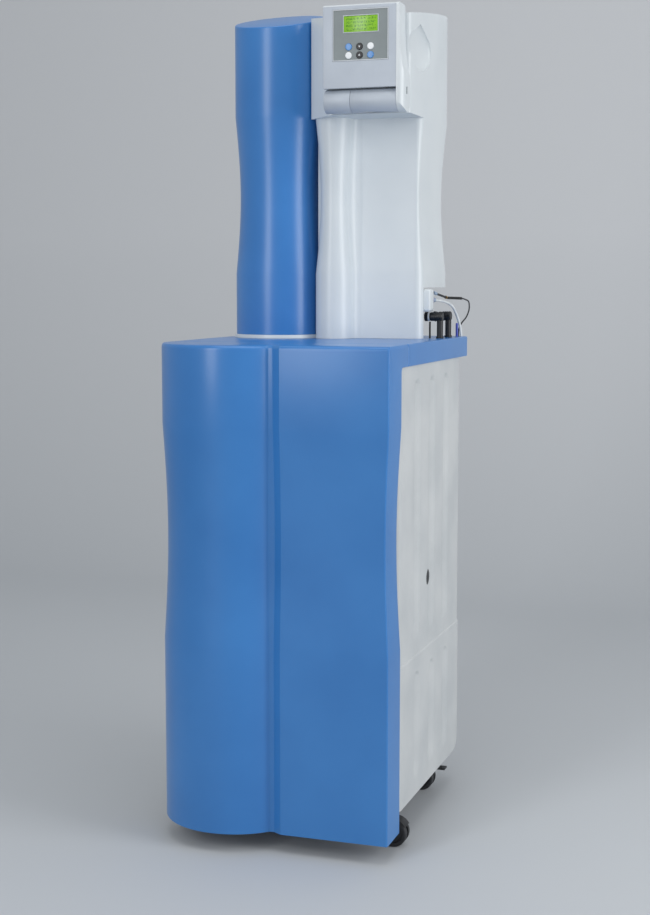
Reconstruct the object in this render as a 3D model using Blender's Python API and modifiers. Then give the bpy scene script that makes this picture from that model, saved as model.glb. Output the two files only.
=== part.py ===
# Free-standing lab reverse osmosis system: a wheeled tank cabinet with a hinged blue door and a lid,
# a blue column cover over the osmosis modules, and a white dispensing column with a tilting display.
# Metres, +Z up. The front faces -Y, and the origin is on the floor under the middle of the cabinet.

import math

import bmesh
import bpy
from mathutils import Matrix, Vector

# Whole unit
WIDTH = 0.452
DEPTH = 0.602
DECK_HEIGHT = 0.905
FIT = 0.0003
OVERRUN = 0.012
MERGE = 0.00001

# Door
BULGE_RADIUS = 0.134
FLAT_SET_BACK = 0.032
FLAT_WIDTH = 0.198
GROOVE_DEPTH = 0.009
GROOVE_RUN = 0.015
DOOR_BOTTOM = 0.035
DOOR_WALL = 0.004
DOOR_CORNER = 0.003
DOOR_TOP_FILLET = 0.008
SIDE_TOP_FILLET = 0.003
DOOR_WAIST_BOTTOM = 0.368
DOOR_WAIST_TOP = 0.762
DOOR_WAIST = 0.008
DOOR_RETURN = 0.076
NOTCH_CORNER = 0.008
SEAM_Y = -0.150
SEAM_GAP = 0.003

# Lid
LID_HEIGHT = 0.039
LID_WALL = 0.006
LID_TOP = 0.004
LID_CORNER = 0.014
LID_RIB = 0.008
LID_RIB_X = 0.120
HOSE_HOLE_RADIUS = 0.008
HOSE_HOLE_X = 0.2110
HOSE_HOLE_Y = 0.284

# Tank
TANK_SIDE_INSET = 0.0035
TANK_FRONT_Y = -0.190
TANK_REAR_Y = 0.250
TANK_BOTTOM = 0.070
TANK_WALL = 0.010
TANK_CORNER = 0.014
LEDGE_HEIGHT = 0.334
LEDGE_STEP = 0.002
TOE_RADIUS = 0.026
CHEEK_THICKNESS = 0.0145
BAY_BACK_Y = -0.060
FLUTE_WIDTH = 0.040
FLUTE_DEPTH = 0.005
FLUTE_PITCH = 0.1035
FLUTE_FIRST_Y = -0.075
FLUTE_COUNT = 3
FLUTE_UPPER_TOP = 0.842
FLUTE_UPPER_BOTTOM = 0.358
FLUTE_LOWER_TOP = 0.303
FLUTE_LOWER_BOTTOM = 0.100
FLUTE_LONG_RAMP = 0.030
FLUTE_SHORT_RAMP = 0.006
SIDE_PORT_RADIUS = 0.018
SIDE_PORT_DEPTH = 0.004
SIDE_PORT_Y = 0.0135
SIDE_PORT_Z = 0.462
POCKET_REAR_Y = 0.040
POCKET_FLOOR = 0.740
NECK_RADIUS = 0.035
NECK_BORE = 0.030
NECK_HEIGHT = 0.040
NECK_X = -0.060
NECK_Y = -0.010

# Door hinge and catch
HINGE_X = -0.213
HINGE_Y = -0.201
PIN_RADIUS = 0.003
PIN_LENGTH = 0.011
TONGUE_RADIUS = 0.0062
RELIEF_RADIUS = 0.0072
LUG_RADIUS = 0.0068
LUG_HEIGHT = 0.012
LUG_ARM_WIDTH = 0.006
LUG_ARM_LENGTH = 0.021
LUG_ARM_OFFSET = 0.001
BRACKET_THICKNESS = 0.004
BRACKET_RIGHT_X = -0.190
BRACKET_REAR_Y = -0.150
FLANGE_HEIGHT = 0.034
LOWER_BRACKET_Z = 0.100
UPPER_BRACKET_Z = 0.838
MAGNET_WIDTH = 0.012
MAGNET_DEPTH = 0.014
MAGNET_HEIGHT = 0.040
MAGNET_Z = 0.560
MAGNET_SET_BACK = 0.002

# Base frame and casters
BASE_WIDTH = 0.410
BASE_FRONT_Y = -0.186
BASE_REAR_Y = 0.236
BASE_THICKNESS = 0.0077
BASE_CORNER = 0.020
STEM_RADIUS = 0.005
STEM_LENGTH = 0.012
WHEEL_RADIUS = 0.025
WHEEL_WIDTH = 0.010
WHEEL_EDGE = 0.002
CASTER_TRAIL = 0.018
CASTER_WEB = 0.006
CASTER_HALF_WIDTH = 0.014
HOOD_RADIUS = 0.0278
HOOD_CLEARANCE = 0.0008
HOOD_EDGE_Z = 0.039
WEB_RADIUS = 0.012
BOSS_RADIUS = 0.010
AXLE_RADIUS = 0.003
FRONT_RIGHT_STEM_Y = -0.160
FRONT_LEFT_STEM_Y = -0.172
FRONT_RIGHT_STEM_X = 0.190
FRONT_LEFT_STEM_X = -0.150
REAR_STEM_X = 0.190
REAR_STEM_Y = 0.165
PEDAL_LENGTH = 0.018
PEDAL_WIDTH = 0.020
PEDAL_THICKNESS = 0.003
PEDAL_PIN_RADIUS = 0.0022
PEDAL_Z = 0.046

# Column cover
COVER_X = -0.112
COVER_Y = 0.123
COVER_RADIUS = 0.088
COVER_WALL = 0.003
COVER_WAIST = 0.009
COVER_TOP = 1.516
COVER_SLOPE = 0.27
FOOT_RADIUS = 0.091
FOOT_HEIGHT = 0.0067
SPIGOT_WALL = 0.006
SPIGOT_HEIGHT = 0.016
SPIGOT_GAP = 0.0006
COVER_WAIST_BOTTOM = 1.029
COVER_WAIST_TOP = 1.331

# Osmosis modules under the cover
MODULE_RADIUS = 0.032
MODULE_SPACING = 0.070
MODULE_LENGTH = 0.520
MODULE_PORT_RADIUS = 0.008
MODULE_PORT_LENGTH = 0.016
MANIFOLD_RADIUS = 0.074
MANIFOLD_HEIGHT = 0.026
CLAMP_Z = 1.300
CLAMP_THICKNESS = 0.014
CLAMP_RADIUS = 0.070
POST_RADIUS = 0.006
POST_OFFSET = 0.046

# White column and hood
BODY_RIGHT = 0.180
BODY_LEFT = -0.185
BODY_WALL = 0.004
BODY_CORNER = 0.015
BODY_WAIST = 0.010
BODY_WAIST_BOTTOM = 1.029
BAY_WALL_Y = 0.105
HOOD_BOTTOM = 1.322
HOOD_FRONT_Y = 0.0158
HOOD_CORNER = 0.008
HOOD_LEFT_X = 0.026
NOSE_X = 0.010
NOSE_Y = 0.090
NOSE_RADIUS = 0.036
TROUGH_RADIUS = 0.015
CRADLE_GAP = 0.004
CRADLE_FRONT_ANGLE = -18.0
CRADLE_REAR_ANGLE = 125.0
HOOD_CRADLE_ANGLE = -30.0
ROOF_FRONT = 1.5005
ROOF_CREST = 1.534
ROOF_REAR = 1.527
ROOF_CREST_Y = 0.275
ROOF_CLEAR = 1.560
ROOF_POWER = 1.25
SCOOP_Y = 0.086
SCOOP_Z = 1.4455
SCOOP_RADIUS = 0.040
SCOOP_TIP = 0.045
SCOOP_DEPTH = 0.012
CONNECTOR_POCKET_X = 0.110
CONNECTOR_POCKET_Y = 0.120
CONNECTOR_POCKET_TOP = 1.003
PANEL_X = -0.020
PANEL_HALF_WIDTH = 0.110
PANEL_BOTTOM = 1.020
PANEL_TOP = 1.470
PANEL_THICKNESS = 0.003

# Display head
HEAD_LEFT = 0.026
HEAD_TOP = 1.514
HEAD_CORNER = 0.006
HEAD_SIDE_CORNER = 0.014
HEAD_WALL = 0.004
HEAD_REAR_WALL = 0.0055
BARREL_Y = -0.006
BARREL_Z = 1.343
BARREL_RADIUS = 0.0215
CHEEK_LEFT = 0.1653
SPLIT_X = 0.077
BARREL_SEAM = 0.0005
FASCIA_MARGIN = 0.002
FASCIA_THICKNESS = 0.003
SCREEN_LEFT = 0.045
SCREEN_RIGHT = 0.151
SCREEN_BOTTOM = 1.413
SCREEN_TOP = 1.505
SCREEN_THICKNESS = 0.0012
SCREEN_PROUD = 0.0002
LCD_LEFT = 0.066
LCD_RIGHT = 0.131
LCD_BOTTOM = 1.464
LCD_TOP = 1.493
KEY_RADIUS = 0.00625
KEY_FIRST_X = 0.0755
KEY_PITCH = 0.0208
KEY_COLUMNS = 3
KEY_UPPER_Z = 1.438
KEY_LOWER_Z = 1.4227
KEY_PROUD = 0.0013
KEY_TRAVEL = 0.001
KEY_RIM = 0.0008
KEY_FLANGE = 0.0012
KEY_STEM = 0.0035
BOARD_THICKNESS = 0.0016
BOARD_PEG_RADIUS = 0.002
BOARD_MARGIN = 0.006
STUB_RADIUS = 0.006
STUB_LENGTH = 0.010
SPINDLE_LENGTH = 0.036
NOZZLE_X = 0.118
NOZZLE_RADIUS = 0.006
NOZZLE_BORE = 0.0035
NOZZLE_DEPTH = 0.014
NOZZLE_RISE = 0.0008

# Inside the white column
BOOSTER_RADIUS = 0.034
BOOSTER_LENGTH = 0.120
BOOSTER_X = 0.050
BOOSTER_Y = 0.185
SUPPLY_WIDTH = 0.100
SUPPLY_DEPTH = 0.050
SUPPLY_HEIGHT = 0.050
SUPPLY_X = -0.010
SUPPLY_Y = 0.255
CONTROL_WIDTH = 0.100
CONTROL_DEPTH = 0.050
CONTROL_X = 0.105
CONTROL_Y = 0.062
CONTROL_PEG = 0.006
CONTROL_PEG_RADIUS = 0.003
INLET_X = -0.070
INLET_Z = 0.975
INLET_WIDTH = 0.028
INLET_DEPTH = 0.022
INLET_HEIGHT = 0.024
INLET_WALL = 0.002
SWITCH_X = -0.120
SWITCH_WIDTH = 0.016
SWITCH_DEPTH = 0.011
SWITCH_HEIGHT = 0.024
SWITCH_DISH = 0.003
SWITCH_SLACK = 0.0022
SWITCH_SET_BACK = 0.0122

# Service compartment
MOTOR_RADIUS = 0.042
MOTOR_LENGTH = 0.130
MOTOR_X = -0.060
MOTOR_Y = -0.122
MOTOR_FOOT = 0.006
MOTOR_FOOT_WIDTH = 0.060
PUMP_RADIUS = 0.036
PUMP_LENGTH = 0.046
CARTRIDGE_RADIUS = 0.036
CARTRIDGE_LENGTH = 0.300
CARTRIDGE_X = 0.080
CARTRIDGE_Y = -0.112
CARTRIDGE_Z = 0.300
CARTRIDGE_CAP = 0.050
CARTRIDGE_CAP_RIM = 0.004
VALVE_X = 0.150
VALVE_Z = 0.130
VALVE_RADIUS = 0.010
VALVE_LENGTH = 0.055
VALVE_BORE = 0.006
VALVE_FLANGE_RADIUS = 0.016
VALVE_FLANGE = 0.004
VALVE_BONNET = 0.006
LEVER_LENGTH = 0.040
LEVER_WIDTH = 0.010
LEVER_THICKNESS = 0.004
LEVER_STEM_RADIUS = 0.003
CAP_RADIUS = 0.042
CAP_HEIGHT = 0.018
CAP_WALL = 0.003
SENSOR_X = 0.060
SENSOR_HEAD_RADIUS = 0.016
SENSOR_HEAD_HEIGHT = 0.014
SENSOR_RADIUS = 0.008
SENSOR_LENGTH = 0.480
VENT_X = 0.130
VENT_RADIUS = 0.024
VENT_HEIGHT = 0.060
VENT_NECK_RADIUS = 0.008
VENT_NECK_LENGTH = 0.020

# Fittings in the connector pocket
BLOCK_LEFT = 0.150
BLOCK_RIGHT = 0.193
BLOCK_BOTTOM = 0.957
BLOCK_TOP = 1.000
BLOCK_REAR_Y = 0.150
BLOCK_EDGE = 0.005
PROBE_RADIUS = 0.0022
CABLE_RADIUS = 0.0014
HOSE_RADIUS = 0.0026
ELBOW_RADIUS = 0.0095
ELBOW_LEFT = 0.175
ELBOW_RIGHT = 0.211
ELBOW_Z = 0.947
ELBOW_LEG_RADIUS = 0.006
FRONT_ELBOW_Y = 0.150
REAR_ELBOW_Y = 0.215
LEVEL_TUBE_RADIUS = 0.0018
LEVEL_TUBE_X = 0.185
BLUE_TUBE_RADIUS = 0.0025
BLUE_TUBE_X = 0.214
BLUE_TUBE_Y = 0.250
BLUE_TUBE_HEIGHT = 0.027

# Worked out from the sizes above
HALF_WIDTH = WIDTH / 2
HALF_DEPTH = DEPTH / 2
FLAT_Y = FLAT_SET_BACK - HALF_DEPTH
RIDGE_X = HALF_WIDTH - FLAT_WIDTH
STRIP_Y = FLAT_Y + DOOR_RETURN
LID_BOTTOM = DECK_HEIGHT - LID_HEIGHT
LID_FRONT_Y = SEAM_Y + SEAM_GAP
TANK_TOP = LID_BOTTOM - FIT
TANK_HALF = HALF_WIDTH - TANK_SIDE_INSET
BAY_HALF = TANK_HALF - CHEEK_THICKNESS
BASE_TOP = TANK_BOTTOM - FIT
BASE_BOTTOM = BASE_TOP - BASE_THICKNESS
ON_DECK = DECK_HEIGHT + FIT
CRADLE_RADIUS = COVER_RADIUS + CRADLE_GAP
HEAD_FRONT_Y = BARREL_Y - BARREL_RADIUS
HEAD_REAR_Y = BARREL_Y + BARREL_RADIUS
FASCIA_BOTTOM = BARREL_Z + BARREL_RADIUS + BARREL_SEAM

ARC_STEPS = 4
ROUND_STEPS = 24
WHEEL_STEPS = 20
KEY_STEPS = 12
COVER_STEPS = 32
WAIST_STEPS = 8


# Scene and materials

def clear_scene():
    for obj in list(bpy.data.objects):
        bpy.data.objects.remove(obj, do_unlink=True)
    for name in ("reverse_osmosis_system", "cutters"):
        bpy.context.scene.collection.children.link(bpy.data.collections.new(name))


def material(name, colour, roughness, metallic=0.0):
    made = bpy.data.materials.new(name)
    made.use_nodes = True
    shader = made.node_tree.nodes["Principled BSDF"]
    shader.inputs["Base Color"].default_value = (*colour, 1.0)
    shader.inputs["Roughness"].default_value = roughness
    shader.inputs["Metallic"].default_value = metallic
    made.diffuse_color = (*colour, 1.0)
    return made


def blue_plastic():
    return material("blue_plastic", (0.045, 0.23, 0.53), 0.35)


def white_plastic():
    return material("white_plastic", (0.62, 0.67, 0.70), 0.35)


def grey_polyethylene():
    return material("grey_polyethylene", (0.54, 0.56, 0.58), 0.5)


def black_rubber():
    return material("black_rubber", (0.012, 0.012, 0.013), 0.6)


def black_plastic():
    return material("black_plastic", (0.02, 0.02, 0.022), 0.4)


def silver_paint():
    return material("silver_paint", (0.52, 0.55, 0.60), 0.35, 0.2)


def dark_panel():
    return material("dark_panel", (0.19, 0.22, 0.23), 0.4)


def lit_display():
    return material("lit_display", (0.27, 0.60, 0.03), 0.3)


def zinc():
    return material("zinc", (0.55, 0.55, 0.56), 0.35, 1.0)


def board_green():
    return material("board_green", (0.03, 0.18, 0.07), 0.5)


def tube_blue():
    return material("tube_blue", (0.10, 0.16, 0.55), 0.4)


# Shapes

def link(obj, finish):
    group = "reverse_osmosis_system" if finish else "cutters"
    bpy.data.collections[group].objects.link(obj)
    if finish:
        obj.data.materials.append(finish)
    else:
        obj.hide_render = True
        obj.display_type = "WIRE"
    return obj


def from_bmesh(name, shape, finish, origin):
    """An object whose mesh was built in world places, with its origin moved to the given point."""
    bmesh.ops.recalc_face_normals(shape, faces=shape.faces)
    bmesh.ops.translate(shape, verts=shape.verts, vec=-Vector(origin))
    mesh = bpy.data.meshes.new(name)
    shape.to_mesh(mesh)
    shape.free()
    mesh.shade_smooth()
    mesh.set_sharp_from_angle(angle=math.radians(35))
    obj = bpy.data.objects.new(name, mesh)
    obj.location = origin
    return link(obj, finish)


def middle(low, high):
    return tuple((a + b) / 2 for a, b in zip(low, high))


def box(name, low, high, finish=None, origin=None):
    shape = bmesh.new()
    bmesh.ops.create_cube(shape, size=1)
    centre = middle(low, high)
    size = [b - a for a, b in zip(low, high)]
    bmesh.ops.scale(shape, verts=shape.verts, vec=size)
    bmesh.ops.translate(shape, verts=shape.verts, vec=centre)
    return from_bmesh(name, shape, finish, origin or centre)


def rod(name, start, end, radius, finish=None, origin=None, sides=ROUND_STEPS):
    """A cylinder between two points."""
    shape = bmesh.new()
    start, end = Vector(start), Vector(end)
    bmesh.ops.create_cone(shape, cap_ends=True, segments=sides, radius1=radius, radius2=radius,
                          depth=(end - start).length)
    turn = (end - start).to_track_quat("Z", "Y").to_matrix()
    bmesh.ops.rotate(shape, verts=shape.verts, cent=(0, 0, 0), matrix=turn)
    bmesh.ops.translate(shape, verts=shape.verts, vec=(start + end) / 2)
    return from_bmesh(name, shape, finish, origin or (start + end) / 2)


def loft(name, rings, finish=None, origin=(0, 0, 0)):
    """A closed body through rings that have the same number of points."""
    shape = bmesh.new()
    made = [[shape.verts.new(point) for point in ring] for ring in rings]
    for low, high in zip(made, made[1:]):
        for i, corner in enumerate(low):
            j = (i + 1) % len(low)
            shape.faces.new((corner, low[j], high[j], high[i]))
    shape.faces.new(made[0][::-1])
    shape.faces.new(made[-1])
    return from_bmesh(name, shape, finish, origin)


def prism(name, outline, low, high, axis, finish=None, origin=None):
    """A flat outline extruded along X, Y or Z. It is in (y, z), (x, z) or (x, y)."""
    curve = bpy.data.curves.new(name, "CURVE")
    curve.dimensions = "2D"
    curve.fill_mode = "BOTH"
    curve.extrude = (high - low) / 2
    spline = curve.splines.new("POLY")
    spline.points.add(len(outline) - 1)
    for point, (across, up) in zip(spline.points, outline):
        point.co = (across, up, 0, 1)
    spline.use_cyclic_u = True
    flat = bpy.data.objects.new(name + "_outline", curve)
    bpy.context.scene.collection.objects.link(flat)
    bpy.context.view_layer.update()
    graph = bpy.context.evaluated_depsgraph_get()
    mesh = bpy.data.meshes.new_from_object(flat.evaluated_get(graph))
    shape = bmesh.new()
    shape.from_mesh(mesh)
    bpy.data.objects.remove(flat, do_unlink=True)
    bpy.data.meshes.remove(mesh)
    bmesh.ops.remove_doubles(shape, verts=shape.verts, dist=MERGE)
    columns = {"X": ((0, 0, 1), (1, 0, 0), (0, 1, 0)), "Y": ((1, 0, 0), (0, 0, -1), (0, 1, 0)),
               "Z": ((1, 0, 0), (0, 1, 0), (0, 0, 1))}
    centre = (low + high) / 2
    shift = {"X": (centre, 0, 0), "Y": (0, centre, 0), "Z": (0, 0, centre)}
    bmesh.ops.transform(shape, verts=shape.verts, matrix=Matrix(columns[axis]).to_4x4())
    bmesh.ops.translate(shape, verts=shape.verts, vec=shift[axis])
    return from_bmesh(name, shape, finish, origin or shift[axis])


def turned(name, profile, place, finish=None, axis="Z", steps=ROUND_STEPS):
    """A profile of (radius, height), top to bottom on its outer side, turned about the axis."""
    mesh = bpy.data.meshes.new(name)
    ring = profile[0][0] > 0
    edges = [(i, i + 1) for i in range(len(profile) - 1)] + [(len(profile) - 1, 0)] * ring
    mesh.from_pydata([(radius, 0, height) for radius, height in profile], edges, [])
    obj = bpy.data.objects.new(name, mesh)
    obj.location = place
    obj.rotation_euler = {"Z": (0, 0, 0), "X": (0, math.pi / 2, 0), "Y": (-math.pi / 2, 0, 0)}[axis]
    screw = obj.modifiers.new("turn", "SCREW")
    screw.steps = screw.render_steps = steps
    screw.use_merge_vertices = True
    screw.merge_threshold = MERGE
    screw.use_smooth_shade = True
    return link(obj, finish)


def tube(name, points, radius, finish, radii=None):
    """A round wire through points given in the world, smoothed by a spline through them."""
    curve = bpy.data.curves.new(name, "CURVE")
    curve.dimensions = "3D"
    curve.bevel_depth = radius
    curve.bevel_resolution = 2
    curve.use_fill_caps = True
    spline = curve.splines.new("POLY")
    smooth = through(points, radii or [1] * len(points))
    spline.points.add(len(smooth) - 1)
    origin = Vector(points[0])
    for point, (place, share) in zip(spline.points, smooth):
        point.co = (*(place - origin), 1)
        point.radius = share
    obj = bpy.data.objects.new(name, curve)
    obj.location = origin
    return link(obj, finish)


def through(points, radii, between=3):
    """A smooth curve through the route's points. Its pull at each point follows the run's length."""
    places = [Vector(p) for p in points]
    places = [2 * places[0] - places[1]] + places + [2 * places[-1] - places[-2]]
    found = []
    for i in range(1, len(places) - 2):
        a, b, c, d = places[i - 1:i + 3]
        run = (c - b).length
        leave, arrive = (c - a).normalized() * run, (d - b).normalized() * run
        for step in range(between):
            t = step / between
            place = (b * (2 * t ** 3 - 3 * t ** 2 + 1) + leave * (t ** 3 - 2 * t ** 2 + t)
                     + c * (3 * t ** 2 - 2 * t ** 3) + arrive * (t ** 3 - t ** 2))
            found.append((place, radii[i - 1] + (radii[i] - radii[i - 1]) * t))
    found.append((places[-2], radii[-1]))
    return found


def arc(centre, radius, start, end, steps=ARC_STEPS):
    """Points on a circle, from one angle in degrees to another."""
    turns = [math.radians(start + (end - start) * i / steps) for i in range(steps + 1)]
    return [(centre[0] + radius * math.cos(a), centre[1] + radius * math.sin(a)) for a in turns]


def rounded(left, right, front, rear, front_corner, rear_corner, steps=ARC_STEPS):
    """A rectangle with round corners, anticlockwise from its rear left."""
    return (arc((left + rear_corner, rear - rear_corner), rear_corner, 90, 180, steps)
            + arc((left + front_corner, front + front_corner), front_corner, 180, 270, steps)
            + arc((right - front_corner, front + front_corner), front_corner, 270, 360, steps)
            + arc((right - rear_corner, rear - rear_corner), rear_corner, 0, 90, steps))


def at_height(outline, z):
    return [(x, y, z) for x, y in outline]


def boolean(target, tool, operation):
    modifier = target.modifiers.new(tool.name, "BOOLEAN")
    modifier.operation = operation
    modifier.object = tool
    return target


def cut(target, *tools):
    for tool in tools:
        boolean(target, tool, "DIFFERENCE")
    return target


def fuse(target, *tools):
    for tool in tools:
        boolean(target, tool, "UNION")
    return target


def keep_common(target, *tools):
    for tool in tools:
        boolean(target, tool, "INTERSECT")
    return target


def soften(obj, width, segments=2):
    bevel = obj.modifiers.new("edges", "BEVEL")
    bevel.width = width
    bevel.segments = segments
    bevel.limit_method = "ANGLE"
    return obj


def carry(parent, *children):
    """Hangs the children on the piece that moves them, without moving them now."""
    for child in children:
        child.parent = parent
        child.matrix_parent_inverse = Matrix.Translation(-parent.location)


def waist(z, low, high, depth):
    """How far a waisted wall is drawn in at a height."""
    return depth * math.sin(math.pi * (z - low) / (high - low)) if low < z < high else 0.0


def steps_between(low, high, count):
    return [low + (high - low) * i / count for i in range(count + 1)]


# Door

def door_outline(inset, side, rear):
    radius = BULGE_RADIUS - inset
    centre = (side - HALF_WIDTH + radius, BULGE_RADIUS - HALF_DEPTH)
    groove = FLAT_Y + GROOVE_DEPTH + inset
    meeting = 360 + math.degrees(math.asin((groove - centre[1]) / radius))
    right = HALF_WIDTH - side
    front = FLAT_Y + inset
    return ([(side - HALF_WIDTH, rear)] + arc(centre, radius, 180, meeting, 14)
            + [(RIDGE_X - GROOVE_RUN, groove), (RIDGE_X, front)]
            + arc((right - DOOR_CORNER, front + DOOR_CORNER), DOOR_CORNER, 270, 360, 2)
            + [(right, rear)])


def door_rings(inset, bottom, top, fillet, rear):
    """Rings of the door from bottom to top: drawn in at the waist, and rounded at the top edge."""
    heights = [bottom] + steps_between(DOOR_WAIST_BOTTOM, DOOR_WAIST_TOP, WAIST_STEPS)
    rings = []
    for z in heights:
        drawn = inset + waist(z, DOOR_WAIST_BOTTOM, DOOR_WAIST_TOP, DOOR_WAIST)
        rings.append(at_height(door_outline(drawn, drawn, rear), z))
    for turn in (0, 30, 60, 90) if fillet else (90,):
        lost = 1 - math.cos(math.radians(turn))
        z = top - fillet * (1 - math.sin(math.radians(turn)))
        side = inset + SIDE_TOP_FILLET * lost if fillet else inset
        rings.append(at_height(door_outline(inset + fillet * lost, side, rear), z))
    return rings


def hinge_lug(bracket_z):
    """A lug on the door that turns on a bracket's pin, with the arm that joins it to the wall."""
    bottom = bracket_z + BRACKET_THICKNESS + FIT
    top = bottom + LUG_HEIGHT
    lug = rod("lug", (HINGE_X, HINGE_Y, bottom - BRACKET_THICKNESS / 2), (HINGE_X, HINGE_Y, top),
              LUG_RADIUS)
    left = HINGE_X + LUG_ARM_OFFSET
    arm = box("lug_arm", (left, HINGE_Y - LUG_ARM_LENGTH, bottom + FIT),
              (left + LUG_ARM_WIDTH, HINGE_Y, top))
    relief = rod("tongue_relief", (HINGE_X, HINGE_Y, bracket_z - FIT), (HINGE_X, HINGE_Y, bottom),
                 RELIEF_RADIUS)
    bore = rod("lug_bore", (HINGE_X, HINGE_Y, bracket_z), (HINGE_X, HINGE_Y, top + OVERRUN),
               PIN_RADIUS + FIT)
    return lug, arm, relief, bore


def door(finish):
    origin = (HINGE_X, HINGE_Y, DOOR_BOTTOM)
    made = loft("door", door_rings(0, DOOR_BOTTOM, DECK_HEIGHT, DOOR_TOP_FILLET, SEAM_Y), finish,
                origin)
    inner = loft("door_inside", door_rings(DOOR_WALL, DOOR_BOTTOM - OVERRUN,
                                           DECK_HEIGHT - DOOR_WALL, 0, SEAM_Y + OVERRUN))
    low, back = DOOR_BOTTOM - OVERRUN, SEAM_Y + OVERRUN
    corner = (STRIP_Y + NOTCH_CORNER, LID_BOTTOM - NOTCH_CORNER)
    right = prism("right_notch", [(STRIP_Y, low), (back, low), (back, LID_BOTTOM)]
                  + arc(corner, NOTCH_CORNER, 90, 180), 0, HALF_WIDTH + OVERRUN, "X")
    left = box("left_notch", (-HALF_WIDTH - OVERRUN, HINGE_Y, low), (0, back, LID_BOTTOM))
    cut(made, inner, right, left)
    for bracket_z in (LOWER_BRACKET_Z, UPPER_BRACKET_Z):
        lug, arm, relief, bore = hinge_lug(bracket_z)
        fuse(made, lug, arm)
        cut(made, relief, bore)
    return made


def hinge_bracket(name, z, finish):
    """A plate from the tank's left cheek to an upright pin."""
    inner = -BAY_HALF + FIT
    top = z + BRACKET_THICKNESS
    outline = (arc((HINGE_X, HINGE_Y), TONGUE_RADIUS, 90, 270, 6)
               + [(BRACKET_RIGHT_X, HINGE_Y - TONGUE_RADIUS), (BRACKET_RIGHT_X, BRACKET_REAR_Y),
                  (inner, BRACKET_REAR_Y), (inner, HINGE_Y + TONGUE_RADIUS)])
    made = prism(name, outline, z, top, "Z", finish)
    flange = box("bracket_flange", (inner, TANK_FRONT_Y + BRACKET_THICKNESS, z - FLANGE_HEIGHT / 2),
                 (inner + BRACKET_THICKNESS, BRACKET_REAR_Y, top + FLANGE_HEIGHT / 2))
    pin = rod("hinge_pin", (HINGE_X, HINGE_Y, z + BRACKET_THICKNESS / 2),
              (HINGE_X, HINGE_Y, top + PIN_LENGTH), PIN_RADIUS)
    return fuse(made, flange, pin)


def door_magnet(finish):
    right = BAY_HALF - FIT
    front = TANK_FRONT_Y + MAGNET_SET_BACK
    return soften(box("door_magnet", (right - MAGNET_WIDTH, front, MAGNET_Z - MAGNET_HEIGHT / 2),
                      (right, front + MAGNET_DEPTH, MAGNET_Z + MAGNET_HEIGHT / 2), finish), FIT, 1)


# Lid

def lid(finish):
    fillet = SIDE_TOP_FILLET
    rings = []
    for z, inset in ((LID_BOTTOM, 0), (DECK_HEIGHT - fillet, 0), (DECK_HEIGHT - fillet / 3, fillet / 3),
                     (DECK_HEIGHT, fillet)):
        rings.append(at_height(rounded(inset - HALF_WIDTH, HALF_WIDTH - inset, LID_FRONT_Y,
                                       HALF_DEPTH - inset, DOOR_CORNER, LID_CORNER), z))
    made = loft("lid", rings, finish, (0, (LID_FRONT_Y + HALF_DEPTH) / 2, LID_BOTTOM))
    inner = rounded(LID_WALL - HALF_WIDTH, HALF_WIDTH - LID_WALL, LID_FRONT_Y + LID_WALL,
                    HALF_DEPTH - LID_WALL, DOOR_CORNER, LID_CORNER - LID_WALL)
    hollow = prism("lid_inside", inner, LID_BOTTOM - OVERRUN, DECK_HEIGHT - LID_TOP, "Z")
    cut(made, hollow)
    for x in (-LID_RIB_X, LID_RIB_X):
        fuse(made, box("lid_rib", (x - LID_RIB / 2, LID_FRONT_Y + LID_WALL / 2, LID_BOTTOM),
                       (x + LID_RIB / 2, HALF_DEPTH - LID_WALL / 2, DECK_HEIGHT - LID_TOP / 2)))
    hole = rod("hose_hole", (HOSE_HOLE_X, HOSE_HOLE_Y, LID_BOTTOM + LID_HEIGHT / 2),
               (HOSE_HOLE_X, HOSE_HOLE_Y, DECK_HEIGHT + OVERRUN), HOSE_HOLE_RADIUS)
    return cut(made, hole)


# Tank

def tank_shell(finish):
    """The outside of the tank, with its ledge, its round corners and the rounded lower rear."""
    rings = []
    for turn in (0, 30, 60, 90):
        angle = math.radians(turn)
        rear = TANK_REAR_Y - TOE_RADIUS * (1 - math.sin(angle))
        z = TANK_BOTTOM + TOE_RADIUS * (1 - math.cos(angle))
        rings.append((z, LEDGE_STEP, rear))
    rings.append((LEDGE_HEIGHT - LEDGE_STEP, LEDGE_STEP, TANK_REAR_Y))
    rings.append((LEDGE_HEIGHT, 0, TANK_REAR_Y))
    rings.append((TANK_TOP, 0, TANK_REAR_Y))
    half = TANK_HALF
    return loft("tank", [at_height(rounded(-half - out, half + out, TANK_FRONT_Y, rear, TANK_CORNER,
                                           TANK_CORNER), z) for z, out, rear in rings],
                finish, (0, (TANK_FRONT_Y + TANK_REAR_Y) / 2, TANK_BOTTOM))


def tank_cavity():
    front, rear = BAY_BACK_Y + TANK_WALL, TANK_REAR_Y - TANK_WALL
    floor, roof = TANK_BOTTOM + TANK_WALL, TANK_TOP - TANK_WALL
    step_y, step_z = POCKET_REAR_Y + TANK_WALL, POCKET_FLOOR - TANK_WALL
    outline = [(front, floor), (rear, floor), (rear, roof), (step_y, roof), (step_y, step_z),
               (front, step_z)]
    half = TANK_HALF - TANK_WALL
    return prism("water_space", outline, -half, half, "X")


def flute(side, y, top, bottom, top_ramp, bottom_ramp, out):
    """A shallow upright groove, as a turned tool that dips into the tank's side."""
    radius = (FLUTE_WIDTH ** 2 / 4 + FLUTE_DEPTH ** 2) / (2 * FLUTE_DEPTH)
    x = side * (TANK_HALF + out + radius - FLUTE_DEPTH)
    thin = radius - FLUTE_DEPTH
    profile = [(0, top), (thin, top), (radius, top - top_ramp), (radius, bottom + bottom_ramp),
               (thin, bottom), (0, bottom)]
    return turned("flute_tool", profile, (x, y, 0), steps=48)


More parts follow.
